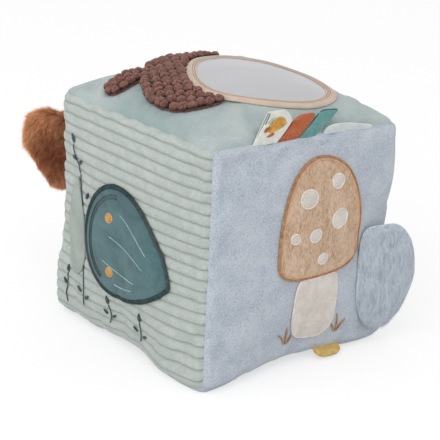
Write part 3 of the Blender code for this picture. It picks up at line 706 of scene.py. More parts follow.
class Effects:
    """The shader groups that several finishes share, each built once."""

    def __init__(self) -> None:
        """Build the groups."""
        self.pile = self.make_pile()
        self.weave = self.make_weave()

    @staticmethod
    def start(name: str, takes: dict[str, str], gives: dict[str, str]) -> tuple:
        """A new group with its sockets.

        Args:
            name: What it is called.
            takes: Its inputs and their kinds.
            gives: Its outputs and their kinds.

        Returns:
            The group, its input node and its output node.
        """
        tree = bpy.data.node_groups.new(name, "ShaderNodeTree")
        for sockets, way in ((takes, "INPUT"), (gives, "OUTPUT")):
            for label, kind in sockets.items():
                tree.interface.new_socket(label, in_out=way, socket_type=f"NodeSocket{kind}")
        return tree, put(tree, "NodeGroupInput"), put(tree, "NodeGroupOutput")

    def make_pile(self) -> bpy.types.NodeTree:
        """Pile cloth: painted light on fine strand tips and painted shade in the gaps between them, and
        soft patches of painted light and shade where the nap lies another way.
        """
        takes = {"Vector": "Vector", "Base": "Color", "Shade": "Color", "Tip": "Color"}
        takes |= {"Strands": "Float", "Patches": "Float", "Contrast": "Float"}
        tree, given, out = self.start("pile_cloth", takes, {"Color": "Color", "Height": "Float"})
        where = given.outputs["Vector"]
        noise = {"Vector": where, "Scale": given.outputs["Strands"], "Detail": 3.0, "Roughness": 0.65}
        fine = put(tree, "TexNoise", noise).outputs[0]
        noise = {"Vector": where, "Scale": given.outputs["Patches"], "Detail": 2.0, "Roughness": 0.5}
        broad = put(tree, "TexNoise", noise | {"Distortion": 0.6}).outputs[0]
        # Broad patches between the shade and base colours: painted light and shade of the nap.
        nap = spread(tree, broad, 0.36, 0.64)
        body = mixed(tree, nap, given.outputs["Shade"], given.outputs["Base"])
        # Fine grain: the lighter tip colour is painted light on the strands, and the gaps multiplied by
        # the shade colour are painted shade.
        tips = maths(tree, "MULTIPLY", spread(tree, fine, 0.45, 0.75), given.outputs["Contrast"])
        lit = mixed(tree, tips, body, given.outputs["Tip"])
        gaps = maths(tree, "MULTIPLY", spread(tree, fine, 0.5, 0.25), given.outputs["Contrast"])
        deep = mixed(tree, gaps, lit, given.outputs["Shade"], "MULTIPLY")
        tree.links.new(deep, out.inputs["Color"])
        tree.links.new(fine, out.inputs["Height"])
        return tree

    def make_weave(self) -> bpy.types.NodeTree:
        """Plain weave: warp over weft over warp, with painted shade where the threads dip under."""
        takes = {"Vector": "Vector", "Base": "Color", "Shade": "Color", "Threads": "Float"}
        tree, given, out = self.start("plain_weave", takes, {"Color": "Color", "Height": "Float"})
        places = put(tree, "SeparateXYZ", {0: given.outputs["Vector"]})
        pitch = given.outputs["Threads"]
        turns = [maths(tree, "MULTIPLY", places.outputs[axis], pitch) for axis in (0, 1)]
        warp, weft = (maths(tree, "SINE", turn) for turn in turns)
        over = spread(tree, maths(tree, "MULTIPLY", warp, weft), -0.3, 0.3)
        humps = [maths(tree, "ABSOLUTE", maths(tree, "COSINE", turn)) for turn in turns]
        high = put(tree, "Mix", {0: over, 2: humps[0], 3: humps[1]}).outputs[0]
        noise = {"Vector": given.outputs["Vector"], "Scale": 260.0, "Detail": 3.0}
        slub = spread(tree, put(tree, "TexNoise", noise).outputs[0], 0.35, 0.65)
        body = mixed(tree, slub, given.outputs["Shade"], given.outputs["Base"])
        # Painted shade: the low places of the weave are multiplied towards the shade colour.
        low = spread(tree, high, 0.5, 0.0, (0, 0.55))
        shaded = mixed(tree, low, body, given.outputs["Shade"], "MULTIPLY")
        tree.links.new(shaded, out.inputs["Color"])
        tree.links.new(high, out.inputs["Height"])
        return tree


class Surface(Enum):
    """What a finish is made of."""

    PILE = "pile, fur or thread"
    WEAVE = "woven tape"
    SMOOTH = "film or plastic"


@dataclass(frozen=True)
class Finish:
    """One finish: its colours as hex digits, and how fine and deep its surface is."""

    name: str
    slot: str
    base: str
    shade: str
    tip: str
    surface: Surface = Surface.PILE
    strands: float = 900.0
    patches: float = 60.0
    contrast: float = 0.5
    stretch: tuple[float, float, float] = (1, 1, 1)
    turn: tuple[float, float, float] = (0, 0, 0)
    rough: float = 0.92
    sheen: float = 0.25
    bump: float = 0.5
    depth: float = 0.0005
    metal: float = 0.0
    see_through: float = 0.0
    # groove: the colour that the attribute reach blends in, painted shade in grooves, pits and a nap
    # patch, or painted light on lock tips.
    groove: str = ""

    def material(self, effects: Effects) -> bpy.types.Material:
        """Make the finish.

        Args:
            effects: The shared shader groups.

        Returns:
            The material.
        """
        made = bpy.data.materials.new(self.name)
        made.use_nodes = True
        tree = made.node_tree
        shader = tree.nodes["Principled BSDF"]
        shader.inputs["Roughness"].default_value = self.rough
        shader.inputs["Metallic"].default_value = self.metal
        shader.inputs["Transmission Weight"].default_value = self.see_through
        shader.inputs["Sheen Weight"].default_value = self.sheen
        shader.inputs["Sheen Roughness"].default_value = 0.5
        if self.surface is not Surface.SMOOTH:
            shader.inputs["Specular IOR Level"].default_value = 0.2
        where = put(tree, "TexCoord").outputs["Object"]
        sockets = {"Vector": where, "Scale": self.stretch, "Rotation": self.turn}
        where = put(tree, "Mapping", sockets).outputs[0]
        sockets = {"Vector": where, "Base": tone(self.base), "Shade": tone(self.shade)}
        if self.surface is Surface.WEAVE:
            group = put(tree, "Group", sockets | {"Threads": self.strands}, node_tree=effects.weave)
        else:
            sockets |= {"Tip": tone(self.tip), "Strands": self.strands}
            sockets |= {"Patches": self.patches, "Contrast": self.contrast}
            group = put(tree, "Group", sockets, node_tree=effects.pile)
        colour = group.outputs["Color"]
        # Blend in the groove colour by the attribute reach: painted shade or painted light.
        if self.groove:
            share = spread(tree, put(tree, "Attribute", attribute_name="reach").outputs["Fac"], 0.0, 1.0)
            colour = mixed(tree, share, colour, tone(self.groove))
        tree.links.new(colour, shader.inputs["Base Color"])
        relief = {"Height": group.outputs["Height"], "Strength": self.bump, "Distance": self.depth}
        tree.links.new(put(tree, "Bump", relief).outputs[0], shader.inputs["Normal"])
        return made


def thread(name: str, slot: str, *colours: str, contrast: float = 0.4) -> Finish:
    """A finish of fine thread, or of anything as fine, from its base, shade and tip colours."""
    return Finish(name, slot, *colours, strands=2500.0, patches=300.0, contrast=contrast)


def weave(name: str, slot: str, *colours: str) -> Finish:
    """A finish of plain woven tape, from its base, shade and tip colours."""
    upright = (math.pi / 2, 0, 0)
    return Finish(name, slot, *colours, Surface.WEAVE, strands=9000.0, depth=0.0001, turn=upright)


class Cloths(Enum):
    """Every finish of the block."""

    BLUE_PLUSH = Finish("blue_plush_pile", "blue_plush", "BEC5CE", "AFB8C3", "D1D6DD", strands=1300.0,
                        patches=70.0, contrast=0.75)
    # groove: the paler colour towards each lock's tip, painted light; the roots and the pouch keep the
    # base colour as painted shade.
    FLAP_PLUSH = Finish("flap_plush_pile", "blue_plush", "C9D1DA", "BFC9D3", "D4DBE1", strands=620.0,
                        patches=90.0, contrast=0.9, stretch=(1, 1, 0.22), groove="DEE4E9")
    # groove: the darker colour that the ribs' grooves take, painted shade.
    CORDUROY = Finish("mint_corduroy_pile", "mint_corduroy", "BDC4BF", "B1B9B4", "CBD1CC", strands=1500.0,
                      patches=120.0, contrast=0.6, groove="9CA49F")
    # groove: the darker colour of a patch beside the corduroy seam, painted nap shade.
    VELOUR = Finish("green_velour_nap", "green_velour", "B2BDBC", "9DACAC", "C2CCCB", strands=1800.0,
                    patches=34.0, contrast=0.4, sheen=0.35, groove="94A6A5")
    PETAL_VELOUR = Finish("pale_petal_velour", "green_velour", "A6AFA8", "98A29B", "B2BAB4",
                          strands=1500.0, patches=60.0, contrast=0.4)
    FIBRE = Finish("filling_fibre", "fibre", "F0F0EC", "DEDED8", "FFFFFF", strands=500.0, patches=80.0)
    FOAM = thread("mirror_foam", "foam", "E8E8E2", "D6D6CF", "F2F2EE", contrast=0.5)
    # A mostly matt light grey with a little metal: the grey is a painted reflection of the pale studio,
    # with some true reflection besides.
    MIRROR = Finish("mirror_film", "mirror_film", "BEBEC1", "BBBBBE", "C0C0C3", Surface.SMOOTH,
                    strands=20.0, patches=12.0, contrast=0.1, rough=0.3, sheen=0.0, bump=0.02, metal=0.3)
    TAN_CLOTH = Finish("bezel_cloth", "tan_cloth", "D3C1AF", "C8B39F", "DDCEC0", strands=1600.0,
                       patches=90.0, contrast=0.3)
    # Real stitch lines, their brown deepened as painted shade under the ring's inner lip.
    BEZEL_THREAD = thread("bezel_thread", "tan_cloth", "A3846B", "8A6C55", "B99C83")
    # groove: the near-black of the knit's pits, painted shade between the bobbles, under them and in their
    # creases.
    POPCORN = Finish("brown_popcorn_knit", "brown_popcorn", "895548", "64352B", "B78572", strands=1300.0,
                     patches=400.0, contrast=1.0, bump=1.0, depth=0.0010, groove="2C120C")
    TAN_PLUSH = Finish("tan_plush_pile", "tan_plush", "D0B39A", "BD9D80", "E3CDB9", strands=900.0,
                       patches=130.0, contrast=0.6, stretch=(1, 1, 0.4))
    CREAM_PLUSH = Finish("cream_plush_pile", "cream_plush", "DDD6CF", "CFC6BE", "ECE6E0", strands=1300.0,
                         patches=110.0, contrast=0.45)
    CREAM_THREAD = thread("cream_thread", "cream_plush", "F0EAE2", "DDD3C8", "F8F4EE")
    PEACH_THREAD = thread("peach_thread", "tan_plush", "E3B893", "CC9A70", "EFCBAA")
    BROWN_THREAD = thread("orange_brown_thread", "tan_plush", "BE9068", "9D7047", "CFA680")
    VELVET = Finish("teal_velvet_pile", "teal_velvet", "4D7175", "3B5B60", "638689", strands=1600.0,
                    patches=55.0, contrast=0.4, sheen=0.4)
    DARK_THREAD = thread("dark_green_thread", "teal_velvet", "45585A", "324344", "5B7072", contrast=0.5)
    PALE_THREAD = thread("pale_vein_thread", "teal_velvet", "B4D0D2", "93B4B8", "CADFE0")
    OCHRE_THREAD = thread("ochre_thread", "ochre_tape", "D9A64C", "B78030", "E8BE72")
    # groove: the pale colour towards each lock's tip, painted light that is strongest at the tail's
    # outline; the dark base colour at the roots and on the pouch is painted shade.
    FUR = Finish("brown_fur_pile", "brown_fur", "8C3410", "6A220A", "A84A22", strands=700.0,
                 patches=190.0, contrast=0.4, sheen=0.12, groove="FFC290")
    WHITE_TAPE = weave("white_tape_weave", "white_tape", "E6E7E1", "D8DAD2", "F2F2EE")
    LABEL_TAPE = weave("pale_label_weave", "white_tape", "D3DADA", "C6CFCF", "DEE3E3")
    RUST_TAPE = Finish("rust_tape_brushed", "rust_tape", "B86239", "A04F2A", "CF7F54", strands=1500.0,
                       patches=200.0, contrast=0.5, stretch=(0.35, 1, 1.6))
    TEAL_TAPE = weave("teal_tape_weave", "teal_tape", "70A29F", "5F9390", "85B3B0")
    OCHRE_TAPE = weave("ochre_tape_weave", "ochre_tape", "DDBE7A", "CBA85E", "E8CE95")
    # Dark teal: the teal tab's darker fold, and the painted shadow line along the white tab's edge.
    DARK_TAPE = thread("dark_tape_fold", "teal_tape", "3B686B", "2C5356", "4C7B7D")
    SAGE_PRINT = thread("sage_print", "white_tape", "B9C6BC", "A9B8AD", "C6D1C8", contrast=0.3)
    CASE = Finish("rattle_case_plastic", "clear_plastic", "DDE2E6", "D5DADF", "E6EAED", Surface.SMOOTH,
                  strands=60.0, patches=20.0, contrast=0.2, rough=0.25, sheen=0.0, bump=0.05,
                  see_through=0.6)
    BEAD = Finish("rattle_bead_plastic", "bead_plastic", "E0904A", "CE7F3B", "EBA566", Surface.SMOOTH,
                  strands=90.0, patches=40.0, contrast=0.2, rough=0.3, sheen=0.0, bump=0.05)


class Workshop:
    """Makes each finish once, and keeps each finished piece."""

    def __init__(self) -> None:
        """Set up the shared groups."""
        self.effects = Effects()
        self.made: dict[Cloths, bpy.types.Material] = {}

    def material(self, cloth: Cloths) -> bpy.types.Material:
        """The material of a finish."""
        if cloth not in self.made:
            self.made[cloth] = cloth.value.material(self.effects)
        return self.made[cloth]

    def keep(
        self,
        name: str,
        bm: bmesh.types.BMesh,
        cloth: Cloths,
        body: str = "block",
        nodes: Sequence[str] = (),
    ) -> bpy.types.Object:
        """Turn a mesh into a finished piece.

        Args:
            name: The piece's name.
            bm: Its mesh, in place.
            cloth: Its finish.
            body: The CAD body that it moves with.
            nodes: The CAD nodes that it stands for.

        Returns:
            The piece.
        """
        mesh = bpy.data.meshes.new(name)
        bm.to_mesh(mesh)
        bm.free()
        mesh.shade_smooth()
        mesh.set_sharp_from_angle(angle=SOFT_EDGE)
        piece = bpy.data.objects.new(name, mesh)
        bpy.context.scene.collection.objects.link(piece)
        mesh.materials.append(self.material(cloth))
        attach(piece, body)
        if nodes:
            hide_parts(*nodes)
        LOG.info("%s: %d faces, rides on %s", name, len(mesh.polygons), body)
        return piece


@dataclass
class SubAssembly:
    """What every sub-assembly works with."""

    skin: Skin
    shop: Workshop

    def patch(
        self,
        side: Side,
        centre: Sequence[float],
        turn: float,
        outline: Outline,
        steps: int,
        heights: tuple[float, float, float],
        clip: Callable[[np.ndarray], np.ndarray] | None = None,
        nap: float = 0.0,
    ) -> bmesh.types.BMesh:
        """A domed piece sewn flat on a side.

        Args:
            side: Which side.
            centre: Its middle, in metres from the side's middle.
            turn: How far its outline is turned.
            outline: Its outline round its own middle.
            steps: Cells across its grid.
            heights: Its under side, its edge and its dome above that.
            clip: Cuts points of the outline back.
            nap: How far the pile's locks stand up and down.

        Returns:
            The closed patch.
        """
        base, edge, dome = heights

        def spot(a: np.ndarray, b: np.ndarray) -> tuple[np.ndarray, np.ndarray]:
            """A grid place as a share outwards and a point on the side."""
            share, angle = disc(a, b)
            points = turned_to(outline(angle) * share[:, None], turn, centre)
            return share, clip(points) if clip else points

        def outer(a: np.ndarray, b: np.ndarray) -> np.ndarray:
            """The upper side."""
            share, points = spot(a, b)
            lift = base + edge + (dome - edge) * (1 - share ** 4)
            flat = np.column_stack((points, np.zeros(len(points))))
            locks = ripple(flat, 0.0032, 3) + ripple(flat * (1, 0.4, 1), 0.0016, 4)
            return self.skin.on_face(side, points, lift + nap * locks * (1 - share ** 8))

        def inner(a: np.ndarray, b: np.ndarray) -> np.ndarray:
            """The under side."""
            return self.skin.on_face(side, spot(a, b)[1], base)

        return turned_out(sheet(steps, steps, outer, inner))


@dataclass
class Cover(SubAssembly):
    """The six sewn panels: plush, velour and ribbed corduroy."""

    steps: int = 84
    top_steps: int = 180
    seam_dip: float = 0.0003
    dip_reach: float = 0.0022
    # Middle and size, in shares of the side, of the top's patch of painted nap shade.
    painted_shade_patch: tuple = ((-1.0, -0.08), (0.28, 0.5))
    cloth: float = 0.0024
    rib_pitch: float = 0.0068
    rib_depth: float = 0.0007
    rib_columns: int = 96
    rib_fade: float = 0.03
    rib_wave: float = 0.03
    rib_wander: float = 0.0035
    rib_profile: tuple = (
        (0.0, 1.0), (0.04, 0.84), (0.08, 0.52), (0.14, 0.24), (0.24, 0.05),
        (0.5, -0.10), (0.76, 0.05), (0.86, 0.24), (0.92, 0.52), (0.96, 0.84),
    )

    def valley(self, side: Side, u: np.ndarray, v: np.ndarray) -> np.ndarray:
        """The skin with the groove that the thread pulls in at each seam."""
        gap = (1 - np.maximum(np.abs(u), np.abs(v))) * self.skin.half
        depth = self.seam_dip * np.exp(-((gap / self.dip_reach) ** 2))
        return self.skin.inset(self.skin.point(side, u, v), depth)

    def plain(self, side: Side) -> bmesh.types.BMesh:
        """A crowned panel whose edges are mitred into the seams."""
        acorn = AcornMirror(self.skin, self.shop)

        def outer(a: np.ndarray, b: np.ndarray) -> np.ndarray:
            """The side that shows."""
            u, v = ease(a), ease(b)
            spots = self.valley(side, u, v)
            if side is Side.TOP:
                spots[:, 2] += acorn.puff(np.column_stack((u, v)) * self.skin.half)
            return spots

        def inner(a: np.ndarray, b: np.ndarray) -> np.ndarray:
            """The side on the filling."""
            return self.skin.inset(outer(a, b), self.cloth - self.seam_dip * 0.9)

        steps = self.top_steps if side is Side.TOP else self.steps
        bm = turned_out(sheet(steps, steps, outer, inner))
        if side is Side.TOP:
            # On the top, a patch beside the corduroy seam is marked for the velour's darker groove colour:
            # painted shade where the nap lies another way.
            (u, v), (wide, long) = self.painted_shade_patch
            spots = np.array([vert.co for vert in bm.verts]) / self.skin.half
            x, y = (spots[:, 0] - u) / wide, (spots[:, 1] - v) / long
            marked(bm, np.exp(-(x ** 2) - y ** 4))
        return bm

    def ribbed(self) -> bmesh.types.BMesh:
        """The corduroy panel: broad wales between narrow grooves that run level."""
        ribs = round(self.skin.half * 2 / self.rib_pitch)
        phases, depths = (np.array(column) for column in zip(*self.rib_profile))
        rows = ribs * len(phases)

        def spot(a: np.ndarray, b: np.ndarray) -> tuple[np.ndarray, np.ndarray, np.ndarray]:
            """A grid place as shares of the side and a share of the groove's depth."""
            row = np.rint((b + 1) / 2 * rows).astype(int)
            rib, step = np.divmod(row, len(phases))
            v = 2 * (rib + phases[step]) / ribs - 1
            u = ease(a)
            wander = np.column_stack((u * self.skin.half, rib * 0.05, rib * 0))
            v = v + ripple(wander, self.rib_wave, 8) * self.rib_wander * (1 - np.abs(v) ** 6)
            return u, v, depths[step] * np.minimum(1, (1 - np.abs(v)) / self.rib_fade)

        def outer(a: np.ndarray, b: np.ndarray) -> np.ndarray:
            """The ribbed side."""
            u, v, depth = spot(a, b)
            return self.skin.inset(self.valley(Side.LEFT, u, v), depth * self.rib_depth)

        def inner(a: np.ndarray, b: np.ndarray) -> np.ndarray:
            """The side on the filling."""
            u, v, _ = spot(a, b)
            return self.skin.inset(self.valley(Side.LEFT, u, v), self.cloth)

        def reach(a: np.ndarray, b: np.ndarray) -> np.ndarray:
            """How deep in a groove a grid place is, which the corduroy's groove colour turns into painted
            shade.
            """
            return np.maximum(0, spot(a, b)[2])

        return turned_out(sheet(self.rib_columns, rows, outer, inner, reach=reach))

    def build(self) -> None:
        """Make and dress the panels."""
        panels = (
            ("front_cover", Side.FRONT, Cloths.BLUE_PLUSH, "front_panel"),
            ("back_cover", Side.BACK, Cloths.BLUE_PLUSH, "back_panel"),
            ("base_cover", Side.BASE, Cloths.BLUE_PLUSH, "base_panel"),
            ("right_cover", Side.RIGHT, Cloths.VELOUR, "right_panel"),
            ("top_cover", Side.TOP, Cloths.VELOUR, "top_panel"),
        )
        for name, side, cloth, node in panels:
            self.shop.keep(name, self.plain(side), cloth, nodes=[node])
        self.shop.keep("corduroy_cover", self.ribbed(), Cloths.CORDUROY, nodes=["corduroy_panel"])


@dataclass
class Stuffing(SubAssembly):
    """The fibre filling, and the rattle in its middle."""

    steps: int = 28
    ease_in: float = 0.0008
    pocket: float = 0.0186
    fill: float = 0.85

    def build(self) -> None:
        """Make and dress the filling, and dress the rattle."""
        depth = FABRIC + self.ease_in
        bm, _ = self.skin.boxed(
            self.steps,
            lambda side, u, v: self.skin.inset(self.skin.point(side, ease(u), ease(v)), depth),
        )
        hollow = bmesh.new()
        bmesh.ops.create_icosphere(hollow, subdivisions=4, radius=self.pocket)
        bmesh.ops.translate(hollow, verts=hollow.verts, vec=self.skin.middle)
        bmesh.ops.reverse_faces(hollow, faces=hollow.faces)
        whole = gathered((turned_out(bm), hollow))
        nodes = ["filling_lower", "filling_upper"]
        piece = self.shop.keep("fibre_filling", whole, Cloths.FIBRE, nodes=nodes)
        for node in ("rattle_case_lower", "rattle_case_upper"):
            self.dress(node, Cloths.CASE)
        for number in (1, 2, 3):
            self.dress(f"bead_{number}", Cloths.BEAD)

    def dress(self, node: str, cloth: Cloths) -> None:
        """Give a CAD node that stays its finish."""
        materials = frame["nodes"][node].data.materials
        materials.clear()
        materials.append(self.shop.material(cloth))
        LOG.info("%s: CAD node dressed in %s", node, cloth.value.name)


@dataclass
class AcornMirror(SubAssembly):
    """The flexible mirror in its stitched bezel, with the popcorn knit cap and stem of the acorn."""

    centre: tuple[float, float] = (0.0030, -0.0120)
    turn: float = math.radians(-38)
    tip_reach: float = 0.055
    back_reach: float = 0.037
    half_width: float = 0.042
    back_power: float = 2.5
    pad: float = 0.0006
    film: float = 0.0006
    skirt: float = 0.0015
    bezel_top: float = 0.0029
    steps: int = 72
    ring_steps: int = 240
    cap_depth: float = 0.0270
    cap_lean: float = 0.08
    cap_spread: float = math.radians(71)
    cap_taper: float = 3.2
    cap_end: float = 0.90
    cap_inset: tuple[float, float] = (0.0, 0.88)
    knit_base: float = 0.0016
    bobble_pitch: float = 0.0060
    stem_pitch: float = 0.0051
    bobble_share: float = 0.50
    bobble_height: float = 0.0021
    bobble_room: tuple[float, float] = (0.0013, 0.0034)
    bobble_field: float = 0.07
    hem: float = 0.0007
    stem_centre: tuple[float, float] = (-0.0520, 0.0362)
    stem_reach: float = 0.0145
    stem_half_width: float = 0.0084
    puff_height: float = 0.0016
    puff_reach: float = 0.013

    def nut(self, angle: np.ndarray, margin: float | np.ndarray = 0.0) -> np.ndarray:
        """The nut's outline round its own middle, its tip at angle 0, grown by a margin."""
        tip, back, side = (reach + margin for reach in (self.tip_reach, self.back_reach, self.half_width))
        return oval(angle, tip, back, side, 2, self.back_power)

    def layer(
        self,
        name: str,
        base: float,
        thickness: float,
        cloth: Cloths,
        node: str,
    ) -> bpy.types.Object:
        """A flat layer under the bezel, with the nut's outline."""
        heights = (base, thickness * 0.8, thickness)

        def outline(angle: np.ndarray) -> np.ndarray:
            """The nut's, inside the bezel's skirt."""
            return self.nut(angle, -self.skirt - CLEARANCE)

        bm = self.patch(Side.TOP, self.centre, self.turn, outline, self.steps, heights)
        return self.shop.keep(name, bm, cloth, nodes=[node])

    def bezel(self) -> bmesh.types.BMesh:
        """The padded ring with its sewn channels, folded over the mirror's edge."""
        top, lip = self.bezel_top, self.pad + self.film + CLEARANCE * 2 + 0.00003
        channels = (
            (-0.0012, 0.0003), (-0.0005, 0.0010), (0.0001, 0.0017), (0.0000, top - 0.0008),
            (-0.0005, top - 0.0004), (-0.0011, top - 0.0001), (-0.0018, top), (-0.0024, top - 0.0001),
            (-0.0027, top - 0.0003), (-0.0030, top - 0.0001), (-0.0035, top), (-0.0040, top - 0.0001),
            (-0.0043, top - 0.0003), (-0.0046, top - 0.0002), (-0.0051, top - 0.0003),
            (-0.0055, top - 0.0006), (-0.0058, top - 0.0006), (-0.0063, top - 0.0006),
            (-0.0067, top - 0.0008), (-0.0069, lip + 0.0001), (-0.0066, lip), (-self.skirt, lip),
            (-self.skirt, 0.0003),
        )
        section = np.array(channels)

        def shape(a: np.ndarray, b: np.ndarray) -> np.ndarray:
            """Wrap the section round the nut."""
            at = np.rint((b + 1) / 2 * len(section)).astype(int) % len(section)
            points = self.nut(a * math.pi, section[at, 0])
            return self.skin.on_face(Side.TOP, turned_to(points, self.turn, self.centre), section[at, 1])

        return turned_out(ring(self.ring_steps, len(section), shape))

    def outline_path(self, margin: float) -> np.ndarray:
        """The nut's outline on the top, as a path."""
        return traced(lambda angle: self.nut(angle, margin), self.turn, self.centre)

    def cap_reach(self, angle: np.ndarray, share: np.ndarray | float) -> np.ndarray:
        """How far the cap goes out from the nut's middle, at a share of its depth."""
        off_axis = np.minimum(1, np.abs(angle) / self.cap_spread)
        near = np.linalg.norm(self.nut(angle + math.pi, CLEARANCE * 2), axis=1)
        depth = self.cap_depth * (1 + self.cap_lean * (np.sin(angle) - 0.5))
        return near + depth * share * (1 - off_axis ** self.cap_taper)

    def cap_spot(self, angle: np.ndarray, reach: np.ndarray) -> np.ndarray:
        """A place of the cap on the top."""
        offset = np.stack((np.cos(angle + math.pi), np.sin(angle + math.pi)), axis=1) * reach[:, None]
        return turned_to(offset, self.turn, self.centre)

    def cap_base(self) -> bmesh.types.BMesh:
        """The knitted ground of the cap."""

        def spot(a: np.ndarray, b: np.ndarray) -> np.ndarray:
            """A grid place on the cap."""
            angle = a * self.cap_spread * self.cap_end
            low, high = self.cap_inset
            return self.cap_spot(angle, self.cap_reach(angle, low + (high - low) * (b + 1) / 2))

        def outer(a: np.ndarray, b: np.ndarray) -> np.ndarray:
            """The side that shows between the bobbles."""
            rim = np.maximum(np.abs(a) ** 6, np.abs(b) ** 6)
            return self.skin.on_face(Side.TOP, spot(a, b), CLEARANCE + self.knit_base * (1 - rim * 0.6))

        def inner(a: np.ndarray, b: np.ndarray) -> np.ndarray:
            """The side on the top panel."""
            return self.skin.on_face(Side.TOP, spot(a, b), CLEARANCE)

        return self.sunken(sheet(60, 16, outer, inner))

    @staticmethod
    def sunken(bm: bmesh.types.BMesh) -> bmesh.types.BMesh:
        """The ground between bobbles, marked with the full painted shade of the knit's deepest part."""
        return turned_out(marked(bm, [1.0] * len(bm.verts)))

    def bobbles(self, spots: np.ndarray, seed: int) -> bmesh.types.BMesh:
        """Popcorn bobbles standing on the top.

        Args:
            spots: Their places, in metres from the top's middle, and how wide each one's patch is.
            seed: Which set of uneven shapes.

        Returns:
            All of them as one mesh, with painted shade on each bobble's lower side and in its creases as
            the attribute reach.
        """
        one = bmesh.new()
        bmesh.ops.create_icosphere(one, subdivisions=3, radius=1)
        ball = np.array([vert.co for vert in one.verts])
        crowd(one, len(spots))
        draw = np.random.default_rng(seed)
        spots, room = spots[:, :2], np.clip(spots[:, 2] * self.bobble_share, *self.bobble_room)
        feet = self.skin.on_face(Side.TOP, spots, CLEARANCE + self.knit_base)
        up = self.skin.normals(Side.TOP, spots[:, 0] / self.skin.half, spots[:, 1] / self.skin.half)
        along = unit(np.cross(up, draw.normal(size=up.shape)))
        across = np.cross(up, along)
        wide = draw.uniform(0.90, 1.14, (len(spots), 2)) * room[:, None]
        high = self.bobble_height * draw.uniform(0.85, 1.15, len(spots)) * np.minimum(1, room / 0.0026)
        points = (
            ball[None, :, 0, None] * (along * wide[:, :1])[:, None]
            + ball[None, :, 1, None] * (across * wide[:, 1:])[:, None]
            + ball[None, :, 2, None] * (up * high[:, None])[:, None]
        )
        out = unit(points)
        points = points + (feet + up * high[:, None] * 0.62)[:, None]
        flat = points.reshape(-1, 3)
        broad, fine = (
            1 - np.abs(ripple(flat, pitch, seed + extra, 12)) * 2
            for extra, pitch in enumerate((0.0030, 0.0016))
        )
        flat = flat + out.reshape(-1, 3) * (broad * 0.00038 + fine * 0.00020)[:, None]
        # Painted shade: the lower side of each bobble, and the creases between its loops, take the pits'
        # dark colour.
        sunk = np.tile(np.clip((0.55 - ball[:, 2]) * 1.3, 0, 1), len(spots))
        crease_shade = np.clip(0.5 - broad - fine * 0.5, 0, 1) * 0.7
        move_to(one.verts, flat)
        return marked(one, np.maximum(sunk, crease_shade))

    def hem_cord(self, path: np.ndarray) -> bmesh.types.BMesh:
        """The rolled edge of the knit, along a path on the top."""
        cord = tube(self.skin.on_face(Side.TOP, path, CLEARANCE + self.hem * 0.9), self.hem)
        # The cord is marked a third of the way to the pits' painted shade colour.
        return marked(cord, [0.35] * len(cord.verts))

    def polar(self, points: np.ndarray) -> tuple[np.ndarray, np.ndarray]:
        """The angle of points of the top off the nut's back axis, and how far they are from its middle."""
        offset = turned_to(points - np.array(self.centre), -self.turn, (0, 0))
        return np.arctan2(-offset[:, 1], -offset[:, 0]), np.linalg.norm(offset, axis=1)

    def on_cap(self, points: np.ndarray) -> np.ndarray:
        """Which points of the top the cap covers."""
        angle, reach = self.polar(points)
        near = self.cap_reach(angle, 0.0) - 0.0010
        return (np.abs(angle) < self.cap_spread) & (reach > near) & (reach < self.cap_reach(angle, 1.0))

    def on_stem(self, points: np.ndarray) -> np.ndarray:
        """Which points of the top the stem covers."""
        angle, reach = self.polar(points)
        x, y = (points - np.array(self.stem_centre)).T
        inside = np.abs(x / self.stem_reach) ** 3 + np.abs(y / self.stem_half_width) ** 3 < 1
        past = reach > self.cap_reach(angle, 1.0) + CLEARANCE
        return inside & ((np.abs(angle) > self.cap_spread) | past)

    def puff(self, points: np.ndarray) -> np.ndarray:
        """How far the stuffed top swells up beside the bezel; not at all under it, or by the cap."""
        angle, reach = self.polar(points)
        past = reach - np.linalg.norm(self.nut(angle + math.pi), axis=1)
        rise = np.clip((past + 0.0014) / 0.0020, 0, 1)
        ahead = np.clip((np.abs(angle) - self.cap_spread) / 0.3, 0, 1)
        fall = np.exp(-((np.maximum(past, 0) / self.puff_reach) ** 2))
        inner = np.prod(1 - (points / self.skin.half) ** 8, axis=1)
        return self.puff_height * smooth(rise) * smooth(ahead) * fall * inner

    def stem_outline(self, angle: np.ndarray) -> np.ndarray:
        """The outline of the stem's ground, which its bobbles stand out past."""
        reach = self.stem_reach - 0.0022
        return oval(angle, reach, reach, self.stem_half_width - 0.0022, 3, 3)

    def clear_of_cap(self, points: np.ndarray) -> np.ndarray:
        """Points of the stem, pushed out to the cap's edge where they reach under it."""
        angle, reach = self.polar(points)
        least = self.cap_reach(angle, 1.0) + CLEARANCE * 2
        offset = points - np.array(self.centre)
        return np.array(self.centre) + offset * (np.maximum(reach, least) / reach)[:, None]

    def stem(self) -> bmesh.types.BMesh:
        """The stub at the top of the cap."""
        heights = (CLEARANCE, self.knit_base * 0.4, self.knit_base)
        base = self.patch(Side.TOP, self.stem_centre, math.pi, self.stem_outline, 20, heights,
                          self.clear_of_cap)
        angle = np.linspace(-0.80, 0.80, 81) * math.pi
        reach, side = self.stem_reach - self.hem, self.stem_half_width - self.hem
        path = turned_to(oval(angle, reach, reach, side, 3, 3), math.pi, self.stem_centre)
        rim = self.hem_cord(self.clear_of_cap(path))
        spots = scattered(self.on_stem, self.bobble_field, self.stem_pitch)
        return gathered((self.sunken(base), self.bobbles(spots, 41), rim))

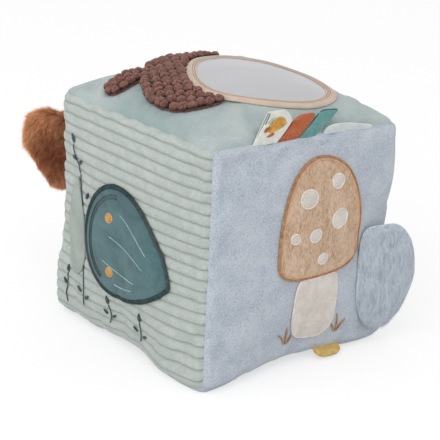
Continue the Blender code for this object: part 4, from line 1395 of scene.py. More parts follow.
    def build(self) -> None:
        """Make and dress the mirror, its bezel and the acorn's cap and stem."""
        foam = self.layer("mirror_padding", CLEARANCE, self.pad, Cloths.FOAM, "mirror_pad")
        self.layer("mirror_face", self.pad + CLEARANCE * 2, self.film, Cloths.MIRROR, "mirror_sheet")
        self.shop.keep("bezel_ring", self.bezel(), Cloths.TAN_CLOTH, nodes=["mirror_bezel"])
        line, lines = Stitch(0.0007, 0.0005, 0.0006, 0.3), []
        for margin, depth in ((0.0043, 0.0006), (0.0055, 0.0009)):
            path = self.outline_path(-margin)
            lines.append(line.band(self.skin, Side.TOP, path, self.bezel_top - depth, True))
        self.shop.keep("bezel_stitching", gathered(lines), Cloths.BEZEL_THREAD)
        angle = np.linspace(-0.97, 0.97, 121) * self.cap_spread
        rim = self.hem_cord(self.cap_spot(angle, self.cap_reach(angle, 1.0) - self.hem))
        spots = scattered(self.on_cap, self.bobble_field, self.bobble_pitch)
        cap = gathered((self.cap_base(), self.bobbles(spots, 23), rim))
        self.shop.keep("popcorn_cap", cap, Cloths.POPCORN, nodes=["acorn_cap"])
        self.shop.keep("popcorn_stem", self.stem(), Cloths.POPCORN, nodes=["acorn_stem"])


@dataclass
class Mushroom(SubAssembly):
    """The padded mushroom on the front, with its spots, outlines and a few blades of grass."""

    x: float = 0.0080
    z: float = -0.0020
    up: float = 0.0600
    down: float = 0.0150
    half_width: float = 0.0320
    top_power: float = 2.3
    rim_power: float = 2.8
    stalk_drop: float = 0.0200
    stalk_reach: float = 0.0235
    stalk_half_width: float = 0.0170
    stalk_power: float = 3.2
    edge: float = 0.0008
    dome: float = 0.0018
    spots: tuple = (
        (-0.0120, 0.0360, 0.0068), (0.0110, 0.0430, 0.0050), (0.0130, 0.0190, 0.0066),
        (-0.0060, 0.0120, 0.0046), (-0.0215, 0.0130, 0.0036), (0.0010, -0.0040, 0.0038),
    )
    blades: tuple = (
        ((-0.0125, -0.0615), (-0.0150, -0.0560), (-0.0190, -0.0520)),
        ((-0.0115, -0.0615), (-0.0120, -0.0540), (-0.0115, -0.0480)),
        ((-0.0105, -0.0615), (-0.0080, -0.0570), (-0.0065, -0.0545)),
        ((0.0275, -0.0610), (0.0255, -0.0560), (0.0225, -0.0530)),
        ((0.0285, -0.0610), (0.0290, -0.0540), (0.0280, -0.0475)),
        ((0.0295, -0.0610), (0.0325, -0.0560), (0.0360, -0.0530)),
    )

    def cap_outline(self, angle: np.ndarray, margin: float = 0.0) -> np.ndarray:
        """The cap's outline, its top at angle 0."""
        up, down, side = (reach + margin for reach in (self.up, self.down, self.half_width))
        return oval(angle, up, down, side, self.top_power, self.rim_power)

    def stalk_outline(self, angle: np.ndarray, margin: float = 0.0) -> np.ndarray:
        """The stalk's outline."""
        reach, side = self.stalk_reach + margin, self.stalk_half_width + margin
        return oval(angle, reach, reach, side, self.stalk_power, self.stalk_power)

    def under_cap(self, points: np.ndarray, gap: float = CLEARANCE * 2) -> np.ndarray:
        """Points of the stalk, cut to the cap's lower edge."""
        share = np.minimum(1, np.abs(points[:, 0] - self.x) / self.half_width)
        rim = (1 - share ** self.rim_power) ** (1 / self.rim_power)
        low = self.z - self.down * rim - gap
        return np.stack((points[:, 0], np.minimum(points[:, 1], low)), axis=1)

    def rim(self, margin: float, stitch: Stitch, base: float) -> bmesh.types.BMesh:
        """A closed line of stitches along the cap's outline."""
        centre = (self.x, self.z)
        path = traced(lambda angle: self.cap_outline(angle, margin), math.pi / 2, centre)
        return stitch.band(self.skin, Side.FRONT, path, base, True)

    def build(self) -> None:
        """Make and dress the mushroom."""
        centre = (self.x, self.z)
        stalk_centre = (self.x, self.z - self.down - self.stalk_drop)
        heights = (CLEARANCE, self.edge, self.dome)
        cap = self.patch(Side.FRONT, centre, math.pi / 2, self.cap_outline, 90, heights, nap=0.00016)
        self.shop.keep("mushroom_top", cap, Cloths.TAN_PLUSH, nodes=["mushroom_cap"])
        stalk = self.patch(Side.FRONT, stalk_centre, math.pi / 2, self.stalk_outline, 60, heights,
                           self.under_cap, nap=0.00012)
        self.shop.keep("mushroom_stem", stalk, Cloths.CREAM_PLUSH, nodes=["mushroom_stalk"])
        rim = self.rim(0.0001, Stitch(0.0016, 0.0014, THREAD), CLEARANCE)
        self.shop.keep("mushroom_outline", rim, Cloths.BROWN_THREAD)
        rim = self.rim(-0.0016, Stitch(0.0009, 0.0009, THREAD), self.dome * 0.55)
        self.shop.keep("mushroom_inner_outline", rim, Cloths.PEACH_THREAD)
        blade, blades = Stitch(0.0010, 0.0009, THREAD), []
        for points in self.blades:
            blades.append(blade.band(self.skin, Side.FRONT, curve(points), CLEARANCE, taper=5))
        self.shop.keep("grass_blades", gathered(blades), Cloths.BROWN_THREAD)
        self.build_spots(centre)
        self.shop.keep("stalk_outline", self.stalk_border(stalk_centre), Cloths.CREAM_THREAD)

    def stalk_border(self, centre: tuple[float, float]) -> bmesh.types.BMesh:
        """The satin line round the part of the stalk that shows below the cap."""
        angles = np.radians(np.linspace(-180, 180, 721))
        path = turned_to(self.stalk_outline(angles), math.pi / 2, centre)
        cut = self.under_cap(path, 0.0012)
        path = path[np.abs(cut[:, 1] - path[:, 1]) < 1e-6]
        return Stitch(0.0012, 0.0012, THREAD).band(self.skin, Side.FRONT, path, CLEARANCE)

    def build_spots(self, centre: tuple[float, float]) -> None:
        """The cream spots on the cap, each with a satin edge."""
        spots, edges = [], []
        base, satin = self.dome * 0.85, Stitch(0.0011, 0.0011, 0.0004)
        for x, z, radius in self.spots:
            place, turn = (centre[0] + x, centre[1] + z), 0.4 + x * 40

            def form(angle: np.ndarray, size: float = radius) -> np.ndarray:
                """The spot's outline."""
                return oval(angle, size, size * 0.9, size * 0.84)

            heights = (base, 0.0004, 0.0010)
            spots.append(self.patch(Side.FRONT, place, turn, form, 20, heights, nap=0.00008))
            edges.append(satin.band(self.skin, Side.FRONT, traced(form, turn, place, 180), base, True))
        self.shop.keep("mushroom_spots", gathered(spots), Cloths.CREAM_PLUSH)
        self.shop.keep("mushroom_spot_edges", gathered(edges), Cloths.CREAM_THREAD)


@dataclass
class CorduroyMotif(SubAssembly):
    """The velvet leaf and the pale petal on the ribs, with veins, dots and small sprigs of thread."""

    centre: tuple[float, float] = (0.0060, -0.0080)
    turn: float = math.radians(-14)
    half_length: float = 0.0405
    half_width: float = 0.0340
    petal_centre: tuple[float, float] = (-0.0475, -0.0090)
    petal_turn: float = math.radians(94)
    petal_half_length: float = 0.0310
    petal_half_width: float = 0.0105
    edge: float = 0.0008
    dome: float = 0.0017
    dots: tuple = ((-0.0100, 0.0085), (-0.0080, -0.0255))
    veins: tuple = (
        ((-0.010, -0.003), (0.006, -0.006), (0.024, -0.014)),
        ((0.000, 0.014), (0.012, 0.007), (0.026, -0.004)),
        ((-0.016, -0.020), (0.000, -0.023), (0.016, -0.025)),
        ((-0.004, -0.032), (0.006, -0.032), (0.014, -0.030)),
    )
    twigs: tuple = (
        ((-0.0385, -0.0600), (-0.0385, -0.0100), (-0.0470, 0.0250)),
        ((-0.0470, 0.0250), (-0.0505, 0.0340), (-0.0545, 0.0430)),
        ((-0.0130, -0.0640), (-0.0105, -0.0570), (-0.0130, -0.0500)),
        ((0.0170, -0.0655), (0.0205, -0.0580), (0.0195, -0.0490)),
        ((-0.0560, -0.0650), (-0.0580, -0.0560), (-0.0555, -0.0440)),
    )
    leaflets: tuple = (
        (-0.0555, 0.0465, 110, 0.0032), (-0.0525, 0.0345, 165, 0.0026), (-0.0460, 0.0330, 40, 0.0026),
        (-0.0360, 0.0140, 60, 0.0028), (-0.0425, -0.0500, 150, 0.0026), (-0.0345, -0.0530, 35, 0.0026),
        (-0.0135, -0.0470, 100, 0.0030), (-0.0155, -0.0560, 150, 0.0024), (-0.0080, -0.0575, 30, 0.0024),
        (0.0195, -0.0460, 90, 0.0030), (0.0155, -0.0560, 150, 0.0024), (0.0240, -0.0580, 35, 0.0024),
        (-0.0550, -0.0410, 80, 0.0028), (-0.0605, -0.0520, 140, 0.0022),
    )

    def leaf_outline(self, angle: np.ndarray, margin: float = 0.0) -> np.ndarray:
        """The leaf's outline, grown by a margin."""
        return leaf_form(angle, self.half_length + margin, self.half_width + margin)

    def petal_outline(self, angle: np.ndarray, margin: float = 0.0) -> np.ndarray:
        """The petal's outline, grown by a margin."""
        return leaf_form(angle, self.petal_half_length + margin, self.petal_half_width + margin)

    def dot(self, centre: tuple[float, float], radius: float, heights: tuple) -> bmesh.types.BMesh:
        """A small round of satin stitch."""

        def form(angle: np.ndarray) -> np.ndarray:
            """Its outline."""
            return oval(angle, radius, radius, radius * 0.82)

        return self.patch(Side.LEFT, centre, 0.3, form, 12, heights)

    def leaflet(self, centre: Sequence[float], turn: float, length: float) -> bmesh.types.BMesh:
        """A small leaf of satin stitch."""

        def form(angle: np.ndarray) -> np.ndarray:
            """Its outline."""
            return leaf_form(angle, length, length * 0.45)

        return self.patch(Side.LEFT, centre, turn, form, 10, (CLEARANCE, 0.0003, 0.0009))

    def build(self) -> None:
        """Make and dress the motif."""
        heights = (CLEARANCE, self.edge, self.dome)
        leaf = self.patch(Side.LEFT, self.centre, self.turn, self.leaf_outline, 80, heights,
                          nap=0.00006)
        self.shop.keep("leaf_velvet", leaf, Cloths.VELVET, nodes=["velvet_leaf"])
        petal = self.patch(Side.LEFT, self.petal_centre, self.petal_turn, self.petal_outline, 40, heights,
                           nap=0.00005)
        self.shop.keep("petal_velour", petal, Cloths.PETAL_VELOUR, nodes=["pale_petal"])
        line, vein = Stitch(0.0007, 0.0006), Stitch(0.0006, 0.0006)
        round_angles = np.radians(np.linspace(0, 360, 361))[:-1]
        surface = CLEARANCE + self.dome * 0.75
        path = turned_to(self.leaf_outline(round_angles), self.turn, self.centre)
        border = Stitch(0.0029, 0.0016, 0.00040, 0.2, 0.24)
        dark = [border.band(self.skin, Side.LEFT, path, CLEARANCE, True)]
        for margin in (-0.0046, -0.0064):
            far_side = np.radians(np.linspace(118, 242, 361))
            path = turned_to(self.leaf_outline(far_side, margin), self.turn, self.centre)
            dark.append(line.band(self.skin, Side.LEFT, path, surface))
        path = turned_to(self.petal_outline(round_angles), self.petal_turn, self.petal_centre)
        rim = Stitch(0.0010, 0.0009).band(self.skin, Side.LEFT, path, CLEARANCE, True)
        self.shop.keep("petal_outline", rim, Cloths.PETAL_VELOUR)
        for points in self.twigs:
            dark.append(line.band(self.skin, Side.LEFT, curve(points), CLEARANCE, taper=3))
        for x, z, angle, length in self.leaflets:
            dark.append(self.leaflet((x, z), math.radians(angle), length))
        self.shop.keep("leaf_outline", gathered(dark), Cloths.DARK_THREAD)
        pale = [vein.band(self.skin, Side.LEFT, curve(points), surface, taper=4)
                for points in self.veins]
        self.shop.keep("leaf_veins", gathered(pale), Cloths.PALE_THREAD)
        rings, dots = [], []
        for centre in self.dots:
            dots.append(self.dot(centre, 0.0030, (surface, 0.0004, 0.0013)))
            angles = np.radians(np.linspace(0, 360, 61))[:-1]
            path = turned_to(oval(angles, 0.0034, 0.0034, 0.0029), 0.3, centre)
            rings.append(Stitch(0.0007, 0.0007, 0.0004).band(self.skin, Side.LEFT, path, surface, True))
        self.shop.keep("leaf_dots", gathered(dots), Cloths.OCHRE_THREAD)
        self.shop.keep("leaf_dot_rings", gathered(rings), Cloths.PEACH_THREAD)


@dataclass(frozen=True)
class Pile:
    """Locks of pile or fur: how many, how long and thick, how they lie, and how light they are."""

    count: int
    length: float
    radius: float
    lay: float
    comb: tuple[float, float, float]
    seed: int
    stray: float
    swirl: float
    wave: float
    tuft: int
    pull: float
    mottle: float
    tones: tuple[float, float]
    # painted_shade_tilt: a slope of painted shade across the locks' roots, darker towards the block.
    painted_shade_tilt: tuple[float, float, float] = (0, 0, 0)
    # rim: painted light on the locks far from the middle, at the pouch's outline.
    rim: float = 0.0
    loose: float = 0.0

    def roots(self, mesh: bpy.types.Mesh, draw: np.random.Generator) -> tuple[np.ndarray, np.ndarray]:
        """Spots spread evenly over a mesh, and the way that the mesh looks at each."""
        mesh.calc_loop_triangles()
        corners = np.zeros(len(mesh.vertices) * 3)
        mesh.vertices.foreach_get("co", corners)
        corners = corners.reshape(-1, 3)
        triangles = np.zeros(len(mesh.loop_triangles) * 3, int)
        mesh.loop_triangles.foreach_get("vertices", triangles)
        a, b, c = (corners[triangles.reshape(-1, 3)[:, corner]] for corner in range(3))
        cross = np.cross(b - a, c - a)
        areas = np.linalg.norm(cross, axis=1)
        chosen = np.sort(draw.choice(len(areas), self.count, p=areas / areas.sum()))
        r, s = draw.random((2, self.count))
        flip = r + s > 1
        r, s = np.where(flip, 1 - r, r), np.where(flip, 1 - s, s)
        root = a[chosen] + (b - a)[chosen] * r[:, None] + (c - a)[chosen] * s[:, None]
        return root, unit(cross[chosen])

    def grow(self, mesh: bpy.types.Mesh) -> bmesh.types.BMesh:
        """Locks rooted all over a closed mesh.

        Args:
            mesh: What they grow on, with its faces pointing out.

        Returns:
            The locks as one mesh, with each point's lightness as the attribute reach.
        """
        draw = np.random.default_rng(self.seed)
        root, normal = self.roots(mesh, draw)
        swirl = np.stack([ripple(root, self.wave, self.seed + k) for k in (1, 2, 3)], axis=1)
        flow = np.array(self.comb) + self.swirl * swirl
        flow = flow + draw.normal(scale=self.stray, size=root.shape)
        flow = unit(flow - normal * (flow * normal).sum(axis=1, keepdims=True))
        rise = unit(normal * (1 - self.lay) + flow * self.lay)
        length = self.length * draw.uniform(0.7, 1.15, self.count)
        length = length * np.where(draw.random(self.count) < self.loose, 1.45, 1.0)
        side = unit(np.cross(rise, flow))
        # Nothing uses this draw: it only keeps the later ones as they are.
        draw.choice((-1.0, 1.0), self.count)
        one = self.lock()
        form = np.array([vert.co for vert in one.verts])
        crowd(one, self.count)
        share = form[None, :, 2, None] + 0.5
        thick = self.radius * draw.uniform(0.75, 1.25, self.count)[:, None, None]
        thick = thick * (1 - share ** 2 * 0.75)
        along = length[:, None, None] * share
        bend = rise[:, None] * along * (1 - 0.25 * share) + flow[:, None] * along * share * 0.45
        points = root[:, None] - normal[:, None] * self.radius + bend
        leader, bright = self.tufts(root, draw)
        tip = root + (rise * 0.75 + flow * 0.45) * length[:, None]
        alike = (normal * normal[leader]).sum(axis=1) > 0.7
        pull = (self.pull * draw.uniform(0.4, 1.0, self.count) * alike)[:, None, None]
        points = points + (tip[leader] - tip)[:, None] * share ** 2 * pull
        # Painted shade along painted_shade_tilt, darker towards the block, and painted light from rim on
        # the locks at the outline.
        across = root @ np.array(self.painted_shade_tilt)
        far = np.linalg.norm(root - root.mean(axis=0), axis=1)
        edge = self.rim * (far / far.max() - 0.75)
        bright = bright + ripple(tip, 0.0045, self.seed + 5, 12) * self.mottle
        bright = np.clip(bright + across - across.mean() + edge, 0.05, 1.15)
        round_it = side[:, None] * form[None, :, 0, None] + normal[:, None] * form[None, :, 1, None]
        points = points + round_it * thick
        move_to(one.verts, points.reshape(-1, 3))
        # reach grows from root to tip, so the groove colour paints light on the tips and the roots keep
        # the base colour as painted shade.
        return marked(one, (share[..., 0] * bright[:, None]).reshape(-1))

    def tufts(self, root: np.ndarray, draw: np.random.Generator) -> tuple[np.ndarray, np.ndarray]:
        """Which lock each lock leans to, and how light its tuft is.

        Args:
            root: Where the locks grow.
            draw: Draws the uneven values.

        Returns:
            The leader's number and the tuft's lightness, lock by lock.
        """
        leaders = np.arange(0, self.count, self.tuft)
        tree = KDTree(len(leaders))
        for number in leaders:
            tree.insert(root[number], int(number))
        tree.balance()
        leader = np.array([tree.find(spot)[1] for spot in root])
        light = np.zeros(self.count)
        light[leaders] = draw.uniform(*self.tones, len(leaders))
        return leader, light[leader]

    @staticmethod
    def lock() -> bmesh.types.BMesh:
        """One lock of three sides, drawn out to a point, in vertices that stay in order."""
        bm = bmesh.new()
        bmesh.ops.create_cone(bm, cap_ends=True, segments=3, radius1=1, radius2=1, depth=1)
        top = [vert for vert in bm.verts if vert.co.z > 0.4]
        bmesh.ops.pointmerge(bm, verts=top, merge_co=(0, 0, 0.5))
        return gathered([turned_out(bm)])


def inflated(
    bm: bmesh.types.BMesh,
    pins: np.ndarray,
    pressure: float,
    growth: float,
    cap: float,
) -> np.ndarray:
    """How a stuffed cover moves when it is filled, from a cloth simulation.

    Args:
        bm: The closed cover. It is left as it is.
        pins: How firmly each vertex is held by a seam, from 0 to 1.
        pressure: The filling's pressure.
        growth: How much wider the cloth is than the form, as a share.
        cap: The furthest that a point may move, in metres.
    """
    rest = np.array([vert.co for vert in bm.verts])
    mesh = bpy.data.meshes.new("cover")
    bm.to_mesh(mesh)
    cover = bpy.data.objects.new("cover", mesh)
    bpy.context.scene.collection.objects.link(cover)
    seam = cover.vertex_groups.new(name="seam")
    for index, hold in enumerate(pins):
        seam.add([index], float(hold), "REPLACE")
    cloth = cover.modifiers.new("cloth", "CLOTH")
    settings = cloth.settings
    settings.vertex_group_mass = "seam"
    settings.pin_stiffness = 1.0
    settings.use_pressure = True
    settings.uniform_pressure_force = pressure
    settings.shrink_min = -growth
    settings.effector_weights.gravity = 0
    settings.tension_stiffness = settings.compression_stiffness = SIM_STIFFNESS
    settings.bending_stiffness = SIM_BENDING
    settings.quality = SIM_QUALITY
    cloth.collision_settings.use_collision = False
    cloth.point_cache.frame_start, cloth.point_cache.frame_end = 1, SIM_FRAMES
    for step in range(1, SIM_FRAMES + 1):
        bpy.context.scene.frame_set(step)
    shape = cover.evaluated_get(bpy.context.evaluated_depsgraph_get()).to_mesh()
    settled = np.zeros(len(shape.vertices) * 3)
    shape.vertices.foreach_get("co", settled)
    bpy.data.objects.remove(cover)
    bpy.context.scene.frame_set(1)
    move = settled.reshape(-1, 3) - rest
    length = np.linalg.norm(move, axis=1, keepdims=True)
    most, mean = length.max() * 1000, length.mean() * 1000
    LOG.info("filled: moves %.1f mm at most, %.1f mm on average", most, mean)
    return move * np.minimum(1, cap / np.maximum(length, 1e-9))


@dataclass
class Pouch(SubAssembly):
    """A stuffed half round, sewn along its straight edge: the blue flap or the fur tail."""

    name: str
    joint: str
    body: str
    nodes: tuple[str, ...]
    cloth: Cloths
    turn: float
    length: float
    foot_share: float
    half_height: float
    swells: tuple[float, float]
    powers: tuple[float, float, float, float]
    pile: Pile
    room: float
    growth: float
    cap: float
    pressure: float = 4.0
    steps: int = 26
    fill: float = 0.7

    def placed(self) -> Matrix:
        """The pouch's own axes and origin: out along it, across it, and up its fold."""
        hinge = next(joint for joint in frame["joints"] if joint["name"] == self.joint)
        return Matrix.Translation(hinge["pos_m"]) @ Matrix.Rotation(self.turn, 4, "Z")

    def outline(self, angle: np.ndarray) -> np.ndarray:
        """The outline round its widest place."""
        upper, lower, foot, heel = self.powers
        foot_reach = self.length * self.foot_share
        power = np.where(np.sin(angle) > 0, upper, lower)
        foot = np.where(np.sin(angle) > 0, foot, heel)
        tip_reach = self.length - foot_reach - self.room
        return oval(angle, tip_reach, foot_reach, self.half_height - self.room, power, foot)

    def cover(self) -> bmesh.types.BMesh:
        """The sewn cover, before it is filled."""

        def side(sign: int, swell: float) -> Shape:
            """One face of the pouch."""

            def place(a: np.ndarray, b: np.ndarray) -> np.ndarray:
                """A grid place on it."""
                share, angle = disc(a, b)
                flat = self.outline(angle) * share[:, None]
                out = self.length * self.foot_share + flat[:, 0]
                swollen = sign * swell * np.maximum(0, 1 - share * share) ** 0.56
                rows = np.column_stack((out, swollen, flat[:, 1]))
                placed = self.placed()
                return rows @ np.array(placed.to_3x3()).T + np.array(placed.translation)

            return place

        front, back = (swell - self.room for swell in self.swells)
        bm = sheet(self.steps, self.steps, side(-1, front), side(1, back), weld=True)
        return turned_out(bm)

    def build(self) -> None:
        """Make, fill and dress the pouch."""
        bm = self.cover()
        local = self.placed().inverted()
        out = np.array([(local @ vert.co).x for vert in bm.verts]) / self.length
        pins = np.clip(1 - out * 6, 0, 1)
        for vert, move in zip(bm.verts, inflated(bm, pins, self.pressure, self.growth, self.cap)):
            vert.co += Vector(move)
        bmesh.ops.subdivide_edges(bm, edges=bm.edges[:], cuts=1, smooth=0.6, use_grid_fill=True)
        # The pouch carries no reach, so it shows the finish's base colour: painted shade between the
        # locks.
        piece = self.shop.keep(self.name, bm, self.cloth, self.body, self.nodes)
        self.shop.keep(f"{self.name}_pile", self.pile.grow(piece.data), self.cloth, self.body)


class Trim(Enum):
    """What shows on a tape besides its weave."""

    PLAIN = "plain"
    FOLD = "a dark fold along its crest"
    HEM = "a pale hem along its crest"
    # The dark edge is a painted shadow line along the tab's left edge.
    PRINT = "a small leaf and a dark edge"


@dataclass
class Tape(SubAssembly):
    """A folded tape in a seam: a flat loop whose two layers are sewn together at a round foot."""

    name: str
    body: str
    node: str
    cloth: Cloths
    start: float
    width: float
    height: float
    lean: tuple[float, float]
    crest: Callable[[float], float]
    trim: Trim = Trim.PLAIN
    base: bool = False
    tape: float = 0.0007
    foot: float = 0.0009
    loop: float = 0.0018
    stitch: float = 0.0025
    sunk: float = 0.0012
    wave: float = 0.00025
    columns: int = 18
    steps: int = 28

    def frame(self) -> Matrix:
        """The tape's place: X along the seam, Z the way that it points."""
        if not self.base:
            lean = math.radians(4)
            return self.seam_frame(1, (0, math.sin(lean), math.cos(lean)), (0, -1, 1))
        edge = self.skin.seam_radius / 4 / self.skin.half - 1
        flat = self.seam_frame(edge, (0, -1, 0), (0, -1, -0.5))
        droop = math.asin((flat.translation.z - self.loop - CLEARANCE) / self.height)
        return self.seam_frame(edge, (0, -math.cos(droop), -math.sin(droop)), (0, -1, -0.5))

    def seam_frame(self, edge: float, rise: Sequence[float], outward: Sequence[float]) -> Matrix:
        """Axes on the front's seam at a height, for a tape that points a certain way."""
        ends = np.array((self.start, self.start + self.width)) / self.skin.half
        left, right = (Vector(spot) for spot in self.skin.sewn(Side.FRONT, ends, np.array((edge, edge))))
        x_axis = (right - left).normalized()
        rise = Vector(rise)
        z_axis = (rise - x_axis * rise.dot(x_axis)).normalized()
        origin = (left + right) / 2 + Vector(outward).normalized() * (self.foot + CLEARANCE)
        axes = Matrix((x_axis, z_axis.cross(x_axis), z_axis)).transposed().to_4x4()
        return Matrix.Translation(origin) @ axes

    def thickness(self, level: float) -> float:
        """Half of the loop's thickness at a height."""
        return self.foot + (self.loop - self.foot) * max(0.0, level) / self.height

    def along(self, across: float, level: float) -> float:
        """How far along the seam a place on the tape is, from the tape's middle."""
        first, last = self.lean
        lean = math.radians(first + (last - first) * across)
        return self.width * (across - 1 / 2) + level * math.tan(lean)

    def waved(self, across: float, level: float) -> float:
        """How far the tape's slight waves push a place of it back."""
        return self.wave * math.sin(across * 9 + level * 500) * max(0, level / self.height)

    def folded(self) -> bmesh.types.BMesh:
        """The loop."""
        bm = bmesh.new()
        bmesh.ops.create_circle(bm, segments=self.steps, radius=1)
        bmesh.ops.create_circle(bm, segments=self.steps, radius=1 / 2)
        bmesh.ops.bridge_loops(bm, edges=bm.edges[:])
        column = {vert: 0 for vert in bm.verts}
        rim = bm.faces[:]
        for number in range(self.columns):
            grown = bmesh.ops.extrude_face_region(bm, geom=rim)["geom"]
            if number:
                bmesh.ops.delete(bm, geom=rim, context="FACES_ONLY")
            rim = [item for item in grown if isinstance(item, bmesh.types.BMFace)]
            column.update({item: number + 1 for item in grown if isinstance(item, bmesh.types.BMVert)})
        stitch = min(self.stitch, self.height / 3)
        place = self.frame()
        for vert in bm.verts:
            share_across = column[vert] / self.columns
            top = self.height * self.crest(share_across)
            angle = math.atan2(vert.co.x, -vert.co.y)
            share = (1 - math.cos(angle)) / 2
            hole = vert.co.length < 3 / 4
            low, high = -self.foot - self.sunk, top
            if hole:
                low, high = stitch * top / self.height, top - self.tape
            level = low + (high - low) * share
            thick = self.thickness(level) - (self.tape if hole else 0)
            edge = min(share_across, 1 - share_across) * self.width
            thick *= 1 - 0.25 * math.exp(-((edge / 0.0006) ** 2))
            across = math.copysign(abs(math.sin(angle)) ** 0.5, math.sin(angle)) * thick
            along = self.along(share_across, level)
            vert.co = place @ Vector((along, across + self.waved(share_across, level), level))
        return turned_out(bm)

    def front(self, share: np.ndarray, height: np.ndarray, lift: float = 0.0) -> np.ndarray:
        """Places on the tape's front, at shares across it and of its crest's height."""
        place = self.frame()
        rows = []
        for across, up in zip(share, height):
            level = up * self.height * self.crest(float(across))
            reach = min(1.0, max(0.0, up))
            thick = self.thickness(level) * math.sqrt(max(0.0, 1 - max(0.0, 2 * reach - 1) ** 4))
            back = self.waved(across, level) - thick - lift
            rows.append(place @ Vector((self.along(across, level), back, level)))
        return np.array(rows)

    def build(self) -> None:
        """Make and dress the tape, with the fold or the print that shows on it."""
        self.shop.keep(self.name, self.folded(), self.cloth, self.body, [self.node])
        share = np.linspace(0.03, 0.97, 41)
        if self.trim is Trim.FOLD:
            fold = tube(self.front(share, np.full(41, 1.0)), 0.00055)
            self.shop.keep(f"{self.name}_fold", fold, Cloths.DARK_TAPE, self.body)
        if self.trim is Trim.HEM:
            hem = tube(self.front(share, np.full(41, 0.98)), 0.00045)
            self.shop.keep(f"{self.name}_hem", hem, Cloths.WHITE_TAPE, self.body)
        if self.trim is Trim.PRINT:
            # The dark edge is painted shade: a thin dark cord where the fold's shadow falls along the
            # tab's left edge.
            edge = tube(self.front(np.full(41, 0.004), np.linspace(0.60, 0.97, 41)), 0.00028)
            self.shop.keep(f"{self.name}_edge", edge, Cloths.DARK_TAPE, self.body)
            for name, centre, turn, size, cloth in (
                ("leaf", (0.50, 0.56), 20, (0.32, 0.25), Cloths.OCHRE_THREAD),
                ("leaf_stem", (0.20, 0.42), 25, (0.11, 0.09), Cloths.RUST_TAPE),
                ("leaf_shade", (0.20, 0.68), 190, (0.13, 0.10), Cloths.SAGE_PRINT),
                ("small_leaf", (0.46, 0.20), 200, (0.13, 0.06), Cloths.RUST_TAPE),
            ):
                bm = self.printed_leaf(centre, math.radians(turn), size)
                self.shop.keep(f"{self.name}_{name}", bm, cloth, self.body)

    def printed_leaf(self, centre: tuple, turn: float, size: tuple) -> bmesh.types.BMesh:
        """A small printed leaf on the tape's front."""

        def place(lift: float) -> Shape:
            """One of its two sides."""

            def at(a: np.ndarray, b: np.ndarray) -> np.ndarray:
                """A grid place on it."""
                share, angle = disc(a, b)
                flat = turned_to(leaf_form(angle, *size) * share[:, None], turn, centre)
                return self.front(flat[:, 0], flat[:, 1], lift)

            return at

        return turned_out(sheet(14, 14, place(0.00016), place(-0.00004)))


def folded_crest(share: float) -> float:
    """The white tab's top edge: level, then down to a corner that is folded in."""
    return 1 - 0.42 * max(0.0, share - 0.4) ** 1.5 / 0.6 ** 1.5


def round_crest(share: float) -> float:
    """A top edge whose two corners are rounded off."""
    return 1 - 0.28 * abs(2 * share - 1) ** 4


def cut_crest(share: float) -> float:
    """The teal tab's top edge, with its first corner cut off and a slight fall to its last."""
    return 1 - 0.12 * (1 - share) ** 5 - 0.12 * share


def tongue_crest(share: float) -> float:
    """The lower tab's rounded tip."""
    return 1 - 0.5 * abs(2 * share - 1) ** 3


def arched_crest(share: float) -> float:
    """The label's low arch, highest before its middle."""
    return 0.10 + 0.90 * math.sin(math.pi * share ** 0.6) ** 1.3


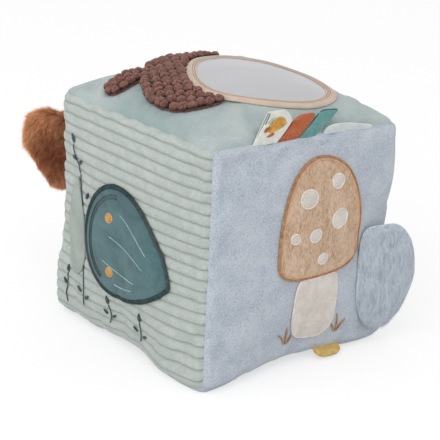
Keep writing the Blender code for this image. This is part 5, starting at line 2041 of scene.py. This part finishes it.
class Studio:
    """The floor, the lights and the camera."""

    lens: float = 150.12
    distance: float = 1.16179
    angles: tuple[float, float, float] = (-41.303, 21.974, 3.101)
    principal: tuple[float, float] = (222.724, 210.103)
    picture: float = 440
    target: tuple[float, float, float] = (0, 0, 0.078)

    def camera(self) -> None:
        """A camera at the photograph's angle."""
        azimuth, elevation, roll = (math.radians(value) for value in self.angles)
        level = math.cos(elevation)
        back = Vector((math.sin(azimuth) * level, -math.cos(azimuth) * level, math.sin(elevation)))
        right = (-back).cross(Vector((0, 0, 1))).normalized()
        up = right.cross(-back)
        c, s = math.cos(roll), math.sin(roll)
        axes = Matrix((right * c + up * s, up * c - right * s, back)).transposed().to_4x4()
        data = bpy.data.cameras.new("camera")
        data.lens = self.lens
        data.sensor_width = 36
        data.shift_x = -(self.principal[0] - self.picture / 2) / self.picture
        data.shift_y = (self.principal[1] - self.picture / 2) / self.picture
        data.clip_start = 0.01
        data.clip_end = 100
        made = bpy.data.objects.new("camera", data)
        made.matrix_world = Matrix.Translation(Vector(self.target) + back * self.distance) @ axes
        bpy.context.scene.collection.objects.link(made)
        bpy.context.scene.camera = made

    def lamp(self, name: str, spot: tuple, size: float, watts: float) -> None:
        """A soft square lamp that looks at the block."""
        data = bpy.data.lights.new(name, "AREA")
        data.size = size
        data.energy = watts
        made = bpy.data.objects.new(name, data)
        made.location = spot
        made.rotation_euler = (Vector(spot) - Vector((0, 0, 0.08))).to_track_quat("Z", "Y").to_euler()
        bpy.context.scene.collection.objects.link(made)

    def floor(self) -> None:
        """A plain pale floor that keeps the block's shadow."""
        bm = bmesh.new()
        bmesh.ops.create_grid(bm, x_segments=1, y_segments=1, size=6)
        mesh = bpy.data.meshes.new("floor")
        bm.to_mesh(mesh)
        bm.free()
        made = bpy.data.objects.new("floor", mesh)
        bpy.context.scene.collection.objects.link(made)
        material = bpy.data.materials.new("pale_floor")
        material.use_nodes = True
        tree = material.node_tree
        tree.nodes.clear()
        matt = put(tree, "BsdfDiffuse", {"Color": (0.42, 0.42, 0.42, 1)})
        plain = put(tree, "BsdfDiffuse", {"Color": (0.8, 0.8, 0.8, 1)})
        glow = put(tree, "Emission", {"Color": (1, 1, 1, 1), "Strength": 0.62})
        shown = put(tree, "AddShader", {0: matt.outputs[0], 1: glow.outputs[0]})
        choice = put(tree, "MixShader", {0: in_view(tree), 1: plain.outputs[0], 2: shown.outputs[0]})
        put(tree, "OutputMaterial", {"Surface": choice.outputs[0]})
        mesh.materials.append(material)

    def sky(self) -> None:
        """White where the camera or a mirror sees it, and a soft fill light on the block."""
        world = bpy.data.worlds.new("studio")
        world.use_nodes = True
        tree = world.node_tree
        tree.nodes.clear()
        strength = spread(tree, in_view(tree), 0.0, 1.0, (0.75, 1.0))
        light = put(tree, "Background", {"Color": (1, 1, 1, 1), "Strength": strength})
        put(tree, "OutputWorld", {"Surface": light.outputs[0]})
        bpy.context.scene.world = world

    def build(self) -> None:
        """Set up the studio."""
        self.floor()
        self.sky()
        self.lamp("key", (-0.9, -0.9, 1.3), 1.4, 9.0)
        self.lamp("side", (-1.4, 0.2, 0.7), 1.2, 4.0)
        self.camera()
        bpy.context.scene.view_settings.view_transform = "Standard"


def main() -> None:
    """Build the block, sub-assembly by sub-assembly, and the studio."""
    logging.basicConfig(level=logging.INFO, format="%(message)s")
    skin, shop = Skin(), Workshop()
    skin.settle()
    for kind in (Cover, Stuffing, AcornMirror, Mushroom, CorduroyMotif):
        LOG.info("%s", kind.__name__)
        kind(skin, shop).build()
    plush = Pile(
        46000, 0.0022, 0.00007, lay=0.84, comb=(0.35, -0.1, -1.0), seed=31, stray=0.12, swirl=0.5,
        wave=0.02, tuft=5, pull=0.45, mottle=0.12, tones=(0.4, 1.0),
    )
    Pouch(
        skin, shop, "lift_flap", "flap_lift", "flap", ("flap_front", "flap_back", "flap_filling"),
        Cloths.FLAP_PLUSH, turn=math.radians(-15), length=0.0425, foot_share=0.48, half_height=0.0365,
        swells=(0.0060, 0.0022), powers=(2.1, 1.6, 6, 2.6), pile=plush, room=0.0012, growth=0.002,
        cap=0.001,
    ).build()
    # painted_shade_tilt darkens the fur towards the block, and rim paints light on it at its outline.
    fur = Pile(
        46000, 0.0050, 0.00008, lay=0.55, comb=(-0.2, 0.1, -0.8), seed=37, stray=0.22, swirl=0.9,
        wave=0.011, tuft=9, pull=0.65, mottle=0.50, tones=(0.5, 1.15), painted_shade_tilt=(-7.0, 15.0, 4.0),
        rim=1.7, loose=0.12,
    )
    Pouch(
        skin, shop, "fur_tail", "tail_swing", "tail", ("tail_fur_right", "tail_fur_left", "tail_filling"),
        Cloths.FUR, turn=math.radians(110), length=0.0455, foot_share=0.42, half_height=0.0280,
        swells=(0.0140, 0.0140), powers=(2.7, 0.95, 2.8, 2.8), pile=fur, room=0.0036, growth=0.01,
        cap=0.0015,
    ).build()
    label_gap = 0.0006 + 0.0042 * math.tan(math.radians(43))
    tapes = (
        ("white_tab", "white_ribbon", "tab_white", Cloths.WHITE_TAPE,
         0.0195, 0.0175, (32, 44), folded_crest, 0.0012, Trim.PRINT),
        ("rust_tab", "rust_ribbon", "tab_rust", Cloths.RUST_TAPE,
         0.0150, 0.0127, (45, 49), round_crest, 0.0012, Trim.PLAIN),
        ("teal_tab", "teal_ribbon", "tab_teal", Cloths.TEAL_TAPE,
         0.0135, 0.0136, (49, 52), cut_crest, label_gap, Trim.FOLD),
        ("white_label", "label", "seam_label", Cloths.LABEL_TAPE,
         0.0390, 0.0037, (0, 0), arched_crest, 0, Trim.HEM),
    )
    start = -0.0420
    for name, body, node, cloth, width, height, lean, crest, gap, trim in tapes:
        Tape(skin, shop, name, body, node, cloth, start, width, height, lean, crest, trim).build()
        start += width + gap
    Tape(
        skin, shop, "ochre_tab", "ochre_ribbon", "base_tab", Cloths.OCHRE_TAPE,
        0.0150, 0.0200, 0.0062, (0, 0), tongue_crest, base=True,
    ).build()
    Studio().build()


if __name__ == "__main__":
    main()
